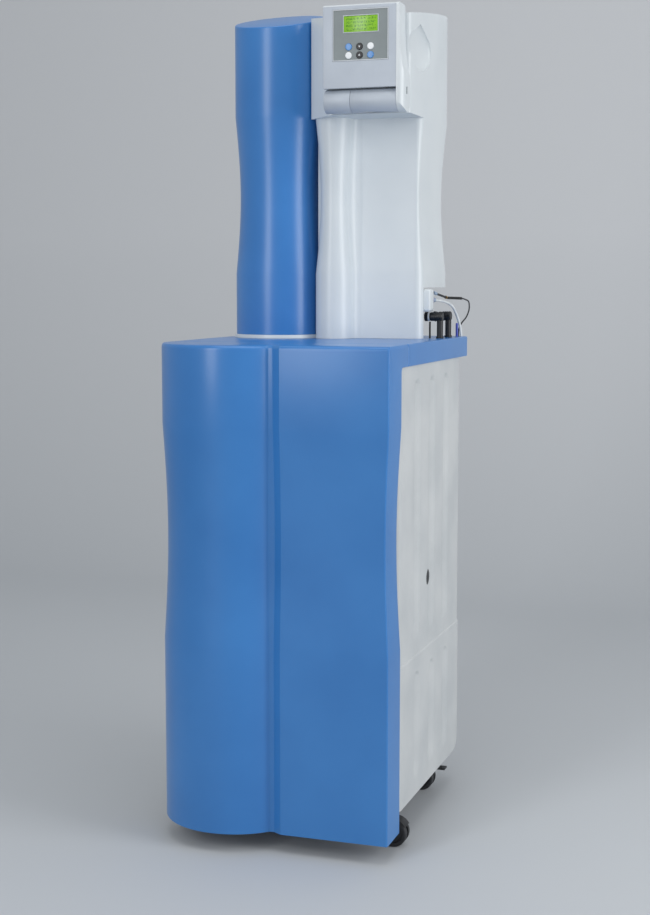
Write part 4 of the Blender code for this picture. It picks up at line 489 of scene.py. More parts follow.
def makeTank():
    p, far = tankPlan, unit["beyond"]
    heights = [(p["bottom"] + up, p["step"], p["rear"] - inward) for up, inward in quarterRound(p["toe"])]
    stops = p["stops"]
    for low, high, count in zip(stops, stops[1:], p["ringCounts"]):
        for z in between(low, high, count)[(low != stops[0]):]:
            out = p["step"] * smooth((p["ledge"] - z) / p["step"]) if z < p["ledge"] else 0
            heights.append((z, out, p["rear"]))
    rings = []
    sideY = between(p["front"] + p["corner"], p["rear"] - 2 * p["toe"], 96)
    for z, out, rear in heights:
        half = p["half"] + out
        c = p["corner"]
        ring = arcPoints((c - half, rear - c), c, 90, 180, 8)
        ring += [(-half + fluteDepth(y, z), y) for y in sideY[::-1]]
        ring += arcPoints((c - half, p["front"] + c), c, 180, 270, 8)[1:]
        ring += arcPoints((half - c, p["front"] + c), c, 270, 360, 8)[:-1]
        ring += [(half - fluteDepth(y, z), y) for y in sideY]
        ring += arcPoints((half - c, rear - c), c, 0, 90, 8)
        rings.append(atHeight(ring, z))
    made = ringsMesh(rings)
    bayHalf, bayBack, wall = p["bayHalf"], p["bayBack"], p["wall"]
    bay = boxMesh((-bayHalf, p["front"] - far, p["bottom"] - far), (bayHalf, bayBack, p["top"] + far))
    pocket = boxMesh((-bayHalf, bayBack - far, p["pocketFloor"]), (bayHalf, p["pocketRear"], p["top"] + far))
    front, rear = bayBack + wall, p["rear"] - wall
    floor, roof = p["bottom"] + wall, p["top"] - wall
    stepY, stepZ = p["pocketRear"] + wall, p["pocketFloor"] - wall
    half = p["half"] - wall
    space = slabMesh([(front, floor), (rear, floor), (rear, roof), (stepY, roof), (stepY, stepZ),
                      (front, stepZ)], -half, half, "X")
    portY, portZ, portRadius, portDepth = p["port"]
    ports = [rodMesh((side * (p["half"] - portDepth), portY, portZ), (side * (p["half"] + far), portY, portZ),
                     portRadius, 64) for side in (-1, 1)]
    made = carve(made, [bay, pocket, space] + ports)
    neckX, neckY, neckRadius, neckBore, neckHeight = p["neck"]
    made = carve(made, [rodMesh((neckX, neckY, p["pocketFloor"] - wall / 2),
                                (neckX, neckY, p["pocketFloor"] + neckHeight), neckRadius)], "UNION")
    holes = [rodMesh((x, neckY, stepZ - far), (x, neckY, p["pocketFloor"] + neckHeight + far), radius)
             for x, radius in ((neckX, neckBore),) + p["holes"]]
    drainX, drainZ, drainRadius = p["drain"]
    holes.append(rodMesh((drainX, bayBack - far, drainZ), (drainX, front + far, drainZ), drainRadius))
    place("tankShell", carve(made, holes), "tankGrey", "cabinet", ["tank"], sharp=38)
    radius, thick = p["plug"]
    for name, side in (("sidePlugLeft", -1), ("sidePlugRight", 1)):  # the dark disc in each side recess
        x = side * (p["half"] - portDepth)
        disc = turnedMesh([(0, thick), (radius - 0.0015, thick), (radius - 0.0002, thick / 3), (radius, 0),
                           (0, 0)], (x, portY, portZ), "X", 48)
        if side < 0:
            bmesh.ops.scale(disc, verts=disc.verts, vec=(-1, 1, 1), space=Matrix.Translation((-x, 0, 0)))
            bmesh.ops.recalc_face_normals(disc, faces=disc.faces)
        place(name, disc, "blackPlastic")


makeTank()
print("stage: tank made")


# Column cover and its foot
coverPlan = dict(x=-0.112, y=0.123, radius=0.088, wall=0.003, waist=0.009, top=1.516, slope=0.27,
                 waistLow=1.029, waistHigh=1.331, base=0.91230, edge=0.0022, around=144)
footPlan = dict(radius=0.091, height=0.0067, wall=0.006, spigot=0.016, slack=0.0006, base=0.9053)


def coverRing(radius, heightAt):
    p = coverPlan
    turns = [2 * math.pi * k / p["around"] for k in range(p["around"])]
    return [(p["x"] + radius * math.cos(a), p["y"] + radius * math.sin(a), heightAt(radius * math.sin(a)))
            for a in turns]


def coverSkin(inset, bottom, drop, edge):
    p = coverPlan
    rings = []
    for z in [bottom] + between(p["waistLow"], p["waistHigh"], 40):
        radius = p["radius"] - inset - drawnIn(z, p["waistLow"], p["waistHigh"], p["waist"])
        rings.append(coverRing(radius, lambda y, z=z: z))
    for lost, down in quarterRound(edge) if edge else [(0, 0)]:
        rings.append(coverRing(p["radius"] - inset - lost,
                               lambda y, down=down + drop: p["top"] + p["slope"] * y - down))
    return ringsMesh(rings)


def makeCover():
    p, f = coverPlan, footPlan
    shell = coverSkin(0, p["base"], 0, p["edge"])
    hollow = coverSkin(p["wall"], p["base"] - unit["beyond"], p["wall"], 0)
    place("columnCover", carve(shell, [hollow]), "blueShell", "cover", ["blue_cover"])
    outer = p["radius"] - p["wall"] - f["slack"]
    inner = outer - f["wall"]
    top = f["height"] + f["spigot"]
    profile = [(inner, top), (outer - f["slack"], top), (outer, top - f["slack"]), (outer, f["height"]),
               (f["radius"] - 0.0012, f["height"]), (f["radius"] - 0.0004, f["height"] - 0.0004),
               (f["radius"], f["height"] - 0.0012), (f["radius"], 0), (inner, 0)]
    place("coverFoot", turnedMesh(profile, (p["x"], p["y"], f["base"]), steps=96), "whiteShell", "cabinet",
          ["cover_foot"])


makeCover()
print("stage: column cover made")


# White column and hood
bodyPlan = dict(right=0.180, left=-0.185, wall=0.004, corner=0.015, waist=0.010, waistLow=1.029,
                wallY=0.105, hoodBottom=1.322, hoodFront=0.0158, hoodCorner=0.008, hoodLeft=0.026,
                nose=(0.010, 0.090, 0.036), trough=0.015, cradle=0.092, roofFront=1.5005, crest=1.534,
                roofRear=1.527, crestY=0.275, clear=1.560, power=1.25, roofEdge=0.0038, base=0.9053)
scoopPlan = dict(y=0.086, z=1.4455, radius=0.040, tip=0.045, deep=0.012, stretch=1.85, fade=78)
pocketPlan = dict(x=0.110, y=0.120, top=1.003)
rearPlan = dict(panelX=-0.020, panelHalf=0.110, panelLow=1.020, panelHigh=1.470, thick=0.003,
                inlet=(-0.070, 0.975, 0.028, 0.024), switch=(-0.120, 0.016, 0.0142))


def backOutline(inset, cradle, last, steps):
    # the rear corners and the hollow round the blue column, the same for column and hood
    p = bodyPlan
    rear, left = unit["halfDepth"] - p["corner"], p["left"] + p["corner"]
    right, corner = p["right"] - p["corner"], p["corner"] - inset
    return (arcPoints((right, rear), corner, 0, 90, steps) + arcPoints((left, rear), corner, 90, 180, steps)
            + [(p["left"] + inset, coverPlan["y"] + p["cradle"])]
            + arcPoints((coverPlan["x"], coverPlan["y"]), cradle, 125, last, 40))


def bayOutline(inset, cradle):
    p = bodyPlan
    right, corner = p["right"] - p["corner"], p["corner"] - inset
    noseX, noseY, noseRadius = p["nose"]
    troughX = noseX + noseRadius + p["trough"]
    return (arcPoints((right, p["wallY"] + p["corner"]), corner, 270, 360, 12)
            + backOutline(inset, cradle, -18, 12)
            + arcPoints((noseX, noseY), noseRadius - inset, 180, 360, 36)
            + arcPoints((troughX, noseY), p["trough"] + inset, 180, 90, 12)[1:])


def bayColumn(inset, bottom, top):
    p = bodyPlan
    heights = [bottom] + between(p["waistLow"], p["hoodBottom"], 28) + ([top] if top > p["hoodBottom"] else [])
    rings = []
    for z in heights:
        drawn = inset + drawnIn(z, p["waistLow"], p["hoodBottom"], p["waist"])
        rings.append(atHeight(bayOutline(drawn, p["cradle"] + inset), z))
    return ringsMesh(rings)


def hoodOutline(inset):
    p = bodyPlan
    small = p["hoodCorner"]
    return (arcPoints((p["right"] - small, p["hoodFront"] + small), small - inset, 270, 360, 8)
            + backOutline(inset, p["cradle"] + inset, -30, 10)
            + [(p["hoodLeft"] + inset, p["hoodFront"] + inset)])


def roofHeight(y):
    p = bodyPlan
    if y >= p["crestY"]:
        share = (y - p["crestY"]) / (unit["halfDepth"] - p["crestY"])
        return p["crest"] - (p["crest"] - p["roofRear"]) * share ** 2
    share = (p["crestY"] - y) / (p["crestY"] - p["hoodFront"])
    return p["crest"] - (p["crest"] - p["roofFront"]) * share ** p["power"]


def roofTool(drop):
    p, far = bodyPlan, unit["beyond"]
    line = between(p["hoodFront"], p["crestY"], 30) + between(p["crestY"], unit["halfDepth"], 8)[1:]
    outline = [(p["hoodFront"] - far, p["roofFront"] - drop)] + [(y, roofHeight(y) - drop) for y in line]
    outline += [(unit["halfDepth"] + far, p["roofRear"] - drop), (unit["halfDepth"] + far, p["clear"] + far),
                (p["hoodFront"] - far, p["clear"] + far)]
    return slabMesh(outline, p["left"] - far, p["right"] + far, "X")


def scoopTool(grow):
    s, rings = scoopPlan, []
    for step in range(13):
        share = step / 12
        size = math.cos(math.radians(share * s["fade"]))
        depth = (s["deep"] + grow) * math.sin(math.radians(share * 90))
        roundEnd = arcPoints((s["y"], s["z"]), (s["radius"] + grow) * size, 150, 390, 44)
        outline = roundEnd + [(s["y"], s["z"] + (s["tip"] + grow) * size)]
        rings.append([(bodyPlan["right"] - depth, s["y"] + (y - s["y"]) * s["stretch"], z) for y, z in outline])
    first = [(bodyPlan["right"] + unit["beyond"] / 2, y, z) for _, y, z in rings[0]]
    return ringsMesh([first] + rings)


def makeBody():
    p, q, r, far = bodyPlan, pocketPlan, rearPlan, unit["beyond"]
    hood = carve(slabMesh(hoodOutline(0), p["hoodBottom"], p["clear"], "Z"), [roofTool(0)])
    hood = roundEdges(hood, p["roofEdge"], 4, lambda at: at.z > p["roofFront"] - 0.002 and at.x > -0.02)
    w = p["wall"]
    hollow = carve(slabMesh(hoodOutline(w), p["hoodBottom"] + w, p["clear"], "Z"), [roofTool(w), scoopTool(w)])

    def pocket(grow):
        return boxMesh((q["x"] - grow, q["y"] - grow, unit["deck"] - far),
                       (p["right"] + far, unit["halfDepth"] + far, q["top"] + grow))

    inside = carve(bayColumn(w, unit["deck"] - far, p["hoodBottom"] + w + far), [pocket(w)])
    made = carve(bayColumn(0, p["base"], p["hoodBottom"]), [hood], "UNION")
    inletX, inletZ, inletWide, inletHigh = r["inlet"]
    switchX, switchWide, switchHalf = r["switch"]
    g, back = unit["gap"], unit["halfDepth"]
    holes = [boxMesh((x - half, back - 2 * far, low), (x + half, back + far, high))
             for x, half, low, high in (
                 (r["panelX"], r["panelHalf"], r["panelLow"], r["panelHigh"]),
                 (inletX, inletWide / 2 + g, inletZ - inletHigh / 2 - g, inletZ + inletHigh / 2 + g),
                 (switchX, switchWide / 2 + g, inletZ - switchHalf, inletZ + switchHalf))]
    made = carve(made, [inside, hollow, pocket(0), scoopTool(0)] + holes)
    place("whiteColumn", made, "whiteShell", "cabinet", ["upper_body"])


makeBody()
print("stage: white column made")


# Display head
headPlan = dict(left=0.026, right=0.180, top=1.514, front=-0.0275, rear=0.0155, y=-0.006, z=1.343,
                radius=0.0215, cheek=0.1653, sideCorner=0.014, topCorner=0.006, wall=0.004, rearWall=0.0055,
                split=0.077, seam=1.365, margin=0.002, fascia=0.003, faceEdge=0.0011, stub=0.006,
                stubLength=0.010, spindle=0.036, chamfer=0.0008, knobEdge=0.0018,
                port=(-0.010, -0.003, 1.3525, 1.3655, 0.0025), portFill=(-0.0095, -0.0035, 1.3530, 1.3650, 0.0023),
                # how far the cheek slims towards the top, at each height, beside the finger scoop
                slim=((0, 1.384), (0.0045, 1.404), (0.0080, 1.436), (0.0095, 1.470)), slimTop=0.0100)
screenPlan = dict(left=0.045, right=0.151, bottom=1.413, top=1.505, thick=0.0012, proud=0.0002, lip=0.0016,
                  dip=0.00035, lcdLip=0.0012, lipHalf=0.0004, lcd=(0.066, 0.131, 1.464, 1.493))
keyPlan = dict(radius=0.00625, xs=(0.0755, 0.0963, 0.1171), zs=(1.438, 1.4227), proud=0.0013, rim=0.0008,
               flange=0.0012, stem=0.0035, dome=0.0009, arrow=(0.0019, 0.0011, 0.0021), arrowHalf=0.0003,
               finishes=("keyBlue", "blackPlastic", "whiteKey", "whiteKey", "blackPlastic", "keyBlue"))
nozzlePlan = dict(x=0.118, radius=0.006, bore=0.0035, deep=0.014, rise=0.0008)


def keyHoles(front, rear):
    return [rodMesh((x, front, z), (x, rear, z), keyPlan["radius"] + unit["gap"], 40)
            for z in keyPlan["zs"] for x in keyPlan["xs"]]


def makeHead():
    p, far, g = headPlan, unit["beyond"], unit["gap"]
    c = p["topCorner"]
    profile = (arcPoints((p["y"], p["z"]), p["radius"], 180, 360, 36)
               + arcPoints((p["rear"] - c, p["top"] - c), c, 0, 90, 8)
               + arcPoints((p["front"] + c, p["top"] - c), c, 90, 180, 8))
    corner = p["sideCorner"]
    plan = ([(p["left"], p["rear"]), (p["left"], p["front"])]
            + arcPoints((p["right"] - corner, p["front"] + corner), corner, 270, 360, 16)
            + [(p["right"], p["rear"])])
    low = p["z"] - p["radius"] - far
    shell = carve(slabMesh(profile, p["left"], p["right"], "X"), [slabMesh(plan, low, p["top"] + far, "Z")],
                  "INTERSECT")
    room = boxMesh((p["left"] - far, p["front"] - far, low), (p["cheek"], p["rear"] + far, p["seam"]))
    seat = boxMesh((p["left"] - far, p["front"] - far, low),
                   (p["cheek"], p["front"] + p["fascia"] + g, p["top"] + far))
    hollow = boxMesh((p["left"] + p["margin"] + p["wall"], p["front"] - far, p["seam"] + p["wall"]),
                     (p["cheek"] - p["wall"], p["rear"] - p["rearWall"], p["top"] - p["wall"] - p["margin"]))
    bore = rodMesh((p["cheek"] - far, p["y"], p["z"]), (p["cheek"] + p["stubLength"], p["y"], p["z"]),
                   p["stub"] + g)
    y0, y1, z0, z1, deep = p["port"]
    port = boxMesh((p["right"] - deep, y0, z0), (p["right"] + far, y1, z1))
    side = [(p["right"] - drawn, z) for drawn, z in p["slim"]]
    slim = slabMesh([(p["right"] + far, side[0][1])] + side + [(p["right"] - p["slimTop"], p["top"] + far),
                    (p["right"] + far, p["top"] + far)], p["front"] - far, p["rear"] + far, "Y")
    made = carve(shell, [room, seat, hollow, bore, port, slim])
    place("headShell", made, "whiteShell", "head", ["display_head"])
    y0, y1, z0, z1, deep = p["portFill"]
    place("headPort", boxMesh((p["right"] - deep, y0, z0), (p["right"] - 0.0008, y1, z1)), "darkFilm", "head")

    def outerEdge(at):
        return at.y < p["front"] + 0.0001 and (at.x < p["left"] + 0.01 or at.z > p["top"] - 0.01)

    face = boxMesh((p["left"], p["front"], p["seam"]),
                   (p["cheek"] - g, p["front"] + p["fascia"], p["top"] - c / 2))
    face = roundEdges(face, p["faceEdge"], 4, outerEdge)
    s = screenPlan
    panelSeat = boxMesh((s["left"] - g, p["front"] - far, s["bottom"] - g),
                        (s["right"] + g, p["front"] + s["thick"] + g - s["proud"], s["top"] + g))
    place("silverFace", carve(face, [panelSeat] + keyHoles(p["front"] - far, p["front"] + p["fascia"] + far)),
          "silverPaint", "head", ["fascia"])

    front, rear = p["front"] - s["proud"], p["front"] - s["proud"] + s["thick"]
    lip = s["lip"]
    sheet = boxMesh((s["left"], front, s["bottom"]), (s["right"], rear, s["top"]))
    lcdLeft, lcdRight, lcdLow, lcdHigh = s["lcd"]
    window = boxMesh((lcdLeft, front - far, lcdLow), (lcdRight, rear + far, lcdHigh))
    dip = boxMesh((s["left"] + lip, front - far, s["bottom"] + lip),
                  (s["right"] - lip, front + s["dip"], s["top"] - lip))
    whole = carve(sheet, [window, dip] + keyHoles(front - far, rear + far))
    place("darkPanel", whole, "darkFilm", "head", ["display_panel"])
    edge, half = s["lcdLip"], s["lipHalf"]
    for name, (x0, x1, z0, z1), wide in (
            ("panelLip", (s["left"], s["right"], s["bottom"], s["top"]), lip),
            ("lcdLip", (lcdLeft - edge, lcdRight + edge, lcdLow - edge, lcdHigh + edge), edge)):
        rim = roundEdges(boxMesh((x0, front - half, z0), (x1, front + half, z1)), 0.0003, 2,
                         lambda at: at.y < front)
        rim = carve(rim, [boxMesh((x0 + wide, front - far, z0 + wide), (x1 - wide, front + far, z1 - wide))])
        place(name, rim, "frameLip", "head")
    glass = boxMesh((lcdLeft + g, p["front"], lcdLow + g), (lcdRight - g, rear, lcdHigh - g))
    place("lcdGlass", roundEdges(glass, 0.0002, 2, lambda at: at.y < rear), "litScreen", "head", ["lcd_window"])


def makeKeys():
    k, p = keyPlan, headPlan
    behind = k["proud"] + p["fascia"] + unit["gap"]
    length = behind + k["flange"] + k["stem"]
    flange, stem, radius = k["radius"] + k["rim"], k["radius"] / 2, k["radius"]
    places = [(x, z) for z in k["zs"] for x in k["xs"]]
    for number, ((x, z), finish) in enumerate(zip(places, k["finishes"]), 1):
        dome = [(radius - lost, down) for lost, down in quarterRound(k["dome"], range(0, 91, 18))]
        profile = [(0, length), (stem, length), (stem, behind + k["flange"]), (flange, behind + k["flange"]),
                   (flange, behind), (radius, behind)] + dome + [(radius / 2, -0.00008), (0, -0.0001)]
        place(f"key{number}", turnedMesh(profile, (x, p["front"] - k["proud"], z), "Y", 48), finish,
              f"key_{number}_body", [f"key_{number}"])
        if finish == "blackPlastic":  # a plain white arrow head, up or down
            way = -1 if number == 2 else 1
            half, foot, tip = k["arrow"]
            points = [(x - half, z - foot * way), (x + half, z - foot * way), (x, z + tip * way)]
            y = p["front"] - k["proud"]
            place(f"arrow{number}", slabMesh(points, y - k["arrowHalf"], y + k["arrowHalf"], "Y"), "whiteKey",
                  f"key_{number}_body")


def makeBarrel():
    p, n, g, far = headPlan, nozzlePlan, unit["gap"], unit["beyond"]
    y, z, radius = p["y"], p["z"], p["radius"]
    e = p["chamfer"]

    def roller(length, foot):
        return [(0, length), (radius - e, length), (radius - e * 0.3, length - e * 0.3),
                (radius, length - e)] + foot

    body = roller(p["cheek"] - g - (p["split"] + g),
                  [(radius, e), (radius - e * 0.3, e * 0.3), (radius - e, 0), (0, 0)])
    made = turnedMesh(body, (p["split"] + g, y, z), "X", 96)
    half, bottom = radius / 2, z - radius
    parts = [rodMesh((p["split"] + radius, y, z), (p["cheek"] + p["stubLength"] - g, y, z), p["stub"]),
             rodMesh((p["split"] - p["spindle"], y, z), (p["split"] + radius, y, z), p["stub"]),
             boxMesh((n["x"] - half, y, z - half), (n["x"] + half, bodyPlan["hoodFront"] - g, z + half))]
    made = carve(carve(made, parts, "UNION"),
                 [rodMesh((n["x"], y, bottom - far), (n["x"], y, bottom + n["deep"]), n["radius"])])
    outer = n["radius"] - n["rise"]
    nozzle = turnedMesh([(n["bore"], n["deep"] + g), (outer, n["deep"] + g), (outer, n["rise"] * 2),
                         (outer - n["rise"], n["rise"]), (n["bore"], n["rise"])], (n["x"], y, bottom), steps=40)
    place("barrelBody", carve(made, [nozzle], "UNION"), "silverPaint", "cabinet", ["barrel_body"])
    edge = p["knobEdge"]
    knob = turnedMesh(roller(p["split"] - p["left"], [(radius, edge), (radius - 0.0005, edge / 3),
                                                      (radius - edge, 0), (0, 0)]), (p["left"], y, z), "X", 96)
    hole = rodMesh((p["split"] - p["spindle"] - g, y, z), (p["split"] + far, y, z), p["stub"] + g)
    place("dispenseKnob", carve(knob, [hole]), "silverPaint", "knob", ["dispense_knob"])


makeHead()
makeKeys()
makeBarrel()
print("stage: display head made")


# Fittings in the connector pocket
fittingPlan = dict(block=(0.150, 0.193, 0.957, 1.000, 0.1203, 0.150), blockEdge=0.005, deck=0.9053,
                   elbow=(0.175, 0.211, 0.947, 0.0095, 0.006), elbowYs=(("Front", 0.150), ("Rear", 0.215)),
                   ribs=4, ribPitch=0.004, collar=0.0052, probe=0.0022, cable=0.0014, hose=0.0026)
# rings round the probe and the hose: name, finish, first and last point of the line, radius
probeRings = (("probeRing", "brassRing", 19, 21, 0.0031), ("probeBand", "clearBand", 4, 9, 0.0034))
hoseRings = (("hoseNut", "nutViolet", 1, 9, 0.0058), ("hoseBand", "clearBand", 10, 12, 0.0048))
probeRoute = [(0.190, 0.1508, 0.993), (0.190, 0.155, 0.993), (0.193, 0.185, 0.989), (0.197, 0.222, 0.984),
              (0.199, 0.232, 0.9825), (0.206, 0.246, 0.982), (0.213, 0.260, 0.9815), (0.2185, 0.271, 0.981)]
probeShares = [1, 1, 1, 1, 1.25, 1.25, 1.25, 1]
cableRoute = [(0.2190, 0.2720, 0.981), (0.222, 0.279, 0.9795), (0.228, 0.2865, 0.9755), (0.2295, 0.2885, 0.969),
              (0.2290, 0.2885, 0.957), (0.2235, 0.2880, 0.943), (0.215, 0.287, 0.932), (0.2092, 0.2867, 0.920),
              (0.2080, 0.2865, 0.905), (0.2080, 0.2865, 0.880)]
hoseRoute = [(0.186, 0.1508, 0.979), (0.186, 0.155, 0.979), (0.190, 0.185, 0.978), (0.197, 0.228, 0.974),
             (0.2025, 0.258, 0.965), (0.2065, 0.271, 0.952), (0.210, 0.2775, 0.938), (0.2135, 0.2805, 0.922),
             (0.2150, 0.281, 0.905), (0.2150, 0.281, 0.880)]


def makeElbow(name, y):
    f = fittingPlan
    x0, x1, z, radius, leg = f["elbow"]
    body, length = radius * 0.9, x1 - x0
    rib = [(0, length), (radius * 0.8, length), (body, length - 0.001)]
    for k in range(f["ribs"]):
        at = length - f["ribPitch"] * (k + 1)
        rib += [(body, at + 0.002), (radius, at + 0.0016), (radius, at + 0.0004), (body, at)]
    rib += [(body, 0.012), (radius * 0.74, 0.0115), (radius * 0.74, 0.006), (radius * 0.95, 0.0055),
            (radius * 0.95, 0.001), (radius * 0.85, 0), (0, 0)]
    foot = turnedMesh([(0, z - f["deck"]), (leg, z - f["deck"]), (leg, 0.004), (leg * 1.25, 0.0035),
                       (leg * 1.25, 0), (0, 0)], (x1 - leg, y, f["deck"]), steps=32)
    place("elbow" + name, carve(turnedMesh(rib, (x0, y, z), "X", 40), [foot], "UNION"), "blackPlastic", "cabinet",
          ["elbow_" + name.lower()])
    collar = turnedMesh([(radius * 0.78, 0.0052), (body, 0.0048), (body, 0.0020), (radius * 0.78, 0.0016)],
                        (x0 + f["collar"], y, z), "X", 40)
    place("elbow" + name + "Collar", collar, "whiteKey")


def makeFittings():
    f = fittingPlan
    left, right, low, high, front, rear = f["block"]
    block = roundEdges(boxMesh((left, front, low), (right, rear, high)), f["blockEdge"], 5, lambda at: True)
    place("connectorBlock", block, "whiteShell", "cabinet", ["connector_block"])
    # the probe, with its grey collar, brass ring and a ribbed nut next to the block
    count = 6
    probe = curveThrough(probeRoute, count)
    shares = [probeShares[min(i // count, len(probeShares) - 1)] for i in range(len(probe))]
    place("conductivityProbe", tubeMesh(probe, f["probe"], 20, shares), "blackPlastic", "cabinet",
          ["conductivity_sensor"])
    for name, finish, i, j, wide in probeRings:
        place(name, tubeMesh(probe[i:j + 1], wide, 28), finish)
    hose = curveThrough(hoseRoute, 8)
    for name, finish, i, j, wide in hoseRings:
        place(name, tubeMesh(hose[i:j + 1], wide, 24, [1 if k % 2 else 0.94 for k in range(i, j + 1)]), finish)
    cable = curveThrough(cableRoute, 8)
    made = place("sensorCable", tubeMesh(cable, f["cable"], 16), "cableSkin", "cabinet", ["sensor_cable"])
    made = place("productHose", tubeMesh(hose, f["hose"], 20), "hoseWhite", "cabinet", ["product_hose"])
    for name, y in f["elbowYs"]:
        makeElbow(name, y)
    for name, node, x, y, radius, top, finish in (
            ("levelTube", "level_tube", 0.185, 0.150, 0.0018, 0.9372, "blackPlastic"),
            ("violetTube", "blue_tube", 0.214, 0.250, 0.0025, 0.9323, "tubeViolet")):
        tube = turnedMesh([(0, top), (radius * 0.7, top), (radius, top - 0.0006), (radius, f["deck"]),
                           (0, f["deck"])], (x, y, 0), steps=24)
        place(name, tube, finish, "cabinet", [node])


makeFittings()
print("stage: fittings made")


# Casters
casterPlan = dict(wheel=0.025, width=0.010, trail=0.018, half=0.014, web=0.006, hood=0.0278, slack=0.0008,
                  hoodEdge=0.039, webRadius=0.012, boss=0.010, top=0.0613, stem=0.0053, socket=0.0497,
                  axle=0.003, hoodRound=0.0016, treadEdge=0.0025,
                  # the wheel's face, from its hub outwards: radius, and how far it lies in
                  face=((0, 0.0012), (0.006, 0.0012), (0.0065, 0.003), (0.0165, 0.003), (0.0175, 0.0008),
                        (0.0195, 0.0004)),
                  stems=dict(front_left=(-0.150, -0.172, (0, -1)), front_right=(0.190, -0.160, (1, 0)),
                             rear_left=(-0.190, 0.165, (-1, 0)), rear_right=(0.190, 0.165, (-1, 0))))


def makeCasters():
    c, far = casterPlan, unit["beyond"]
    for name, (x, y, trail) in c["stems"].items():
        def at(ahead, side, z=c["wheel"]):
            ahead += c["trail"]
            return (x + trail[0] * ahead - trail[1] * side, y + trail[1] * ahead + trail[0] * side, z)

        def brick(one, other):
            return boxMesh(tuple(map(min, one, other)), tuple(map(max, one, other)))

        half, web = c["half"], c["web"] / 2
        hood = roundEdges(rodMesh(at(0, -half), at(0, half), c["hood"], 72), c["hoodRound"], 3, lambda p: True)
        reach, side = c["hood"] + far, half + far
        hood = carve(hood, [brick(at(-reach, -side, -far), at(reach, side, c["hoodEdge"]))])
        boss = rodMesh((x, y, c["hoodEdge"] + unit["gap"]), (x, y, c["top"]), c["boss"], 48)
        hood = carve(hood, [rodMesh(at(0, -web), at(0, web), c["webRadius"], 48),
                            brick(at(-c["webRadius"], -web), at(c["webRadius"], web, 2 * c["wheel"])), boss],
                     "UNION")
        inner = c["wheel"] + c["slack"]
        tools = [rodMesh((x, y, c["socket"]), (x, y, c["top"] + far), c["stem"], 32),
                 rodMesh(at(0, -half), at(0, half), c["axle"] + unit["gap"], 24)]
        tools += [rodMesh(at(0, end * web), at(0, end * side), inner, 72) for end in (-1, 1)]
        place("casterHood_" + name, carve(hood, tools), "blackPlastic", "caster_" + name, ["caster_hood_" + name])

        inside = half - c["width"]
        rim = [(radius, half - deep) for radius, deep in c["face"]]
        rounded = quarterRound(c["treadEdge"], (0, 22, 45, 67, 90))
        tread = [(c["wheel"] - lost, half - deep) for deep, lost in rounded]
        profile = rim + tread + [(c["wheel"], inside), (c["axle"], inside)]
        profile += [(radius, -z) for radius, z in profile[::-1]]
        wheels = turnedMesh(profile, at(0, 0), "Y" if trail[0] else "X", 72)
        place("wheels_" + name, wheels, "wheelTread", "wheels_" + name, ["wheelset_" + name])


makeCasters()
print("stage: casters made")


# Back panel with its screws and slots
slotPlan = dict(half=0.045, high=0.002, edge=0.0019, front=0.270, rear=0.310, lowest=1.360, highest=1.432, gaps=8)
screwPlan = dict(inset=0.009, heights=(1.0258, 1.345, 1.4605), radius=0.0034, sunk=0.0012, dish=0.0008)


def makeBack():
    r, p, g, t, w = rearPlan, bodyPlan, unit["gap"], slotPlan, screwPlan
    left, right = r["panelX"] - r["panelHalf"] + g, r["panelX"] + r["panelHalf"] - g
    rings = []
    for z in [r["panelLow"] + g] + between(p["waistLow"], p["hoodBottom"], 28) + [r["panelHigh"] - g]:
        rear = unit["halfDepth"] - drawnIn(z, p["waistLow"], p["hoodBottom"], p["waist"])
        front = rear - r["thick"]
        rings.append([(left, front, z), (right, front, z), (right, rear, z), (left, rear, z)])
    slots = [roundEdges(boxMesh((r["panelX"] - t["half"], t["front"], z - t["high"]),
                                (r["panelX"] + t["half"], t["rear"], z + t["high"])),
                        t["edge"], 4, lambda at: abs(at.x - r["panelX"]) > t["half"] - 0.001)
             for z in between(t["lowest"], t["highest"], t["gaps"])]
    place("rearPanel", carve(ringsMesh(rings), slots), "whiteShell", "cabinet", ["back_panel"])
    radius, sunk, dish = w["radius"], w["sunk"], w["dish"]
    places = [(x, z) for x in (left + w["inset"], right - w["inset"]) for z in w["heights"]]
    for i, (x, z) in enumerate(places):
        head = turnedMesh([(dish, 0.0005), (0.0026, sunk), (radius, 0.0004), (radius, -sunk), (dish, -sunk)],
                          (x, unit["halfDepth"] - sunk, z), "Y", 24)
        place(f"panelScrew{i}", head, "zincPlate")


makeBack()
print("stage: back made")


# Finishes for the solids that stay as they are
stay = dict(hinge_bracket_upper="zincPlate", hinge_bracket_lower="zincPlate", door_magnet="blackPlastic",
            base_frame="zincPlate", tank_cap="blackPlastic", level_sensor="blackPlastic", vent_filter="hoseWhite",
            drain_valve="whiteShell", drain_lever="blackPlastic", pump_motor="motorPaint", pump_head="castBrass",
            pretreatment_cartridge="whiteShell", cartridge_head="blackPlastic", module_manifold="whiteShell",
            ro_module_left="whiteShell", ro_module_right="whiteShell", module_clamp="tankGrey",
            booster_pump="blackPlastic", control_board="boardGreen", display_board="boardGreen",
            power_supply="motorPaint", power_inlet="blackPlastic", power_switch="blackPlastic",
            brake_pedal_rear_left="blackPlastic", brake_pedal_rear_right="blackPlastic")
for node, finish in stay.items():
    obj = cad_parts[node]
    for slot in obj.material_slots:
        slot.material = finishes[finish]
    if not obj.material_slots:
        obj.data.materials.append(finishes[finish])
print("stage: kept solids finished")


# Floor, lights and camera
# floor and back are the same paper, given a darker floor colour and a lighter back colour as painted shade and
# light; fade is the height over which they blend
studio = dict(floor="C4C8CC", back="DCDEE1", world="DADDE0", worldPower=0.62, front=-3.6, rise=1.9, bend=1.1,
              wall=6.0, half=6, rough=0.75, fade=1.2)


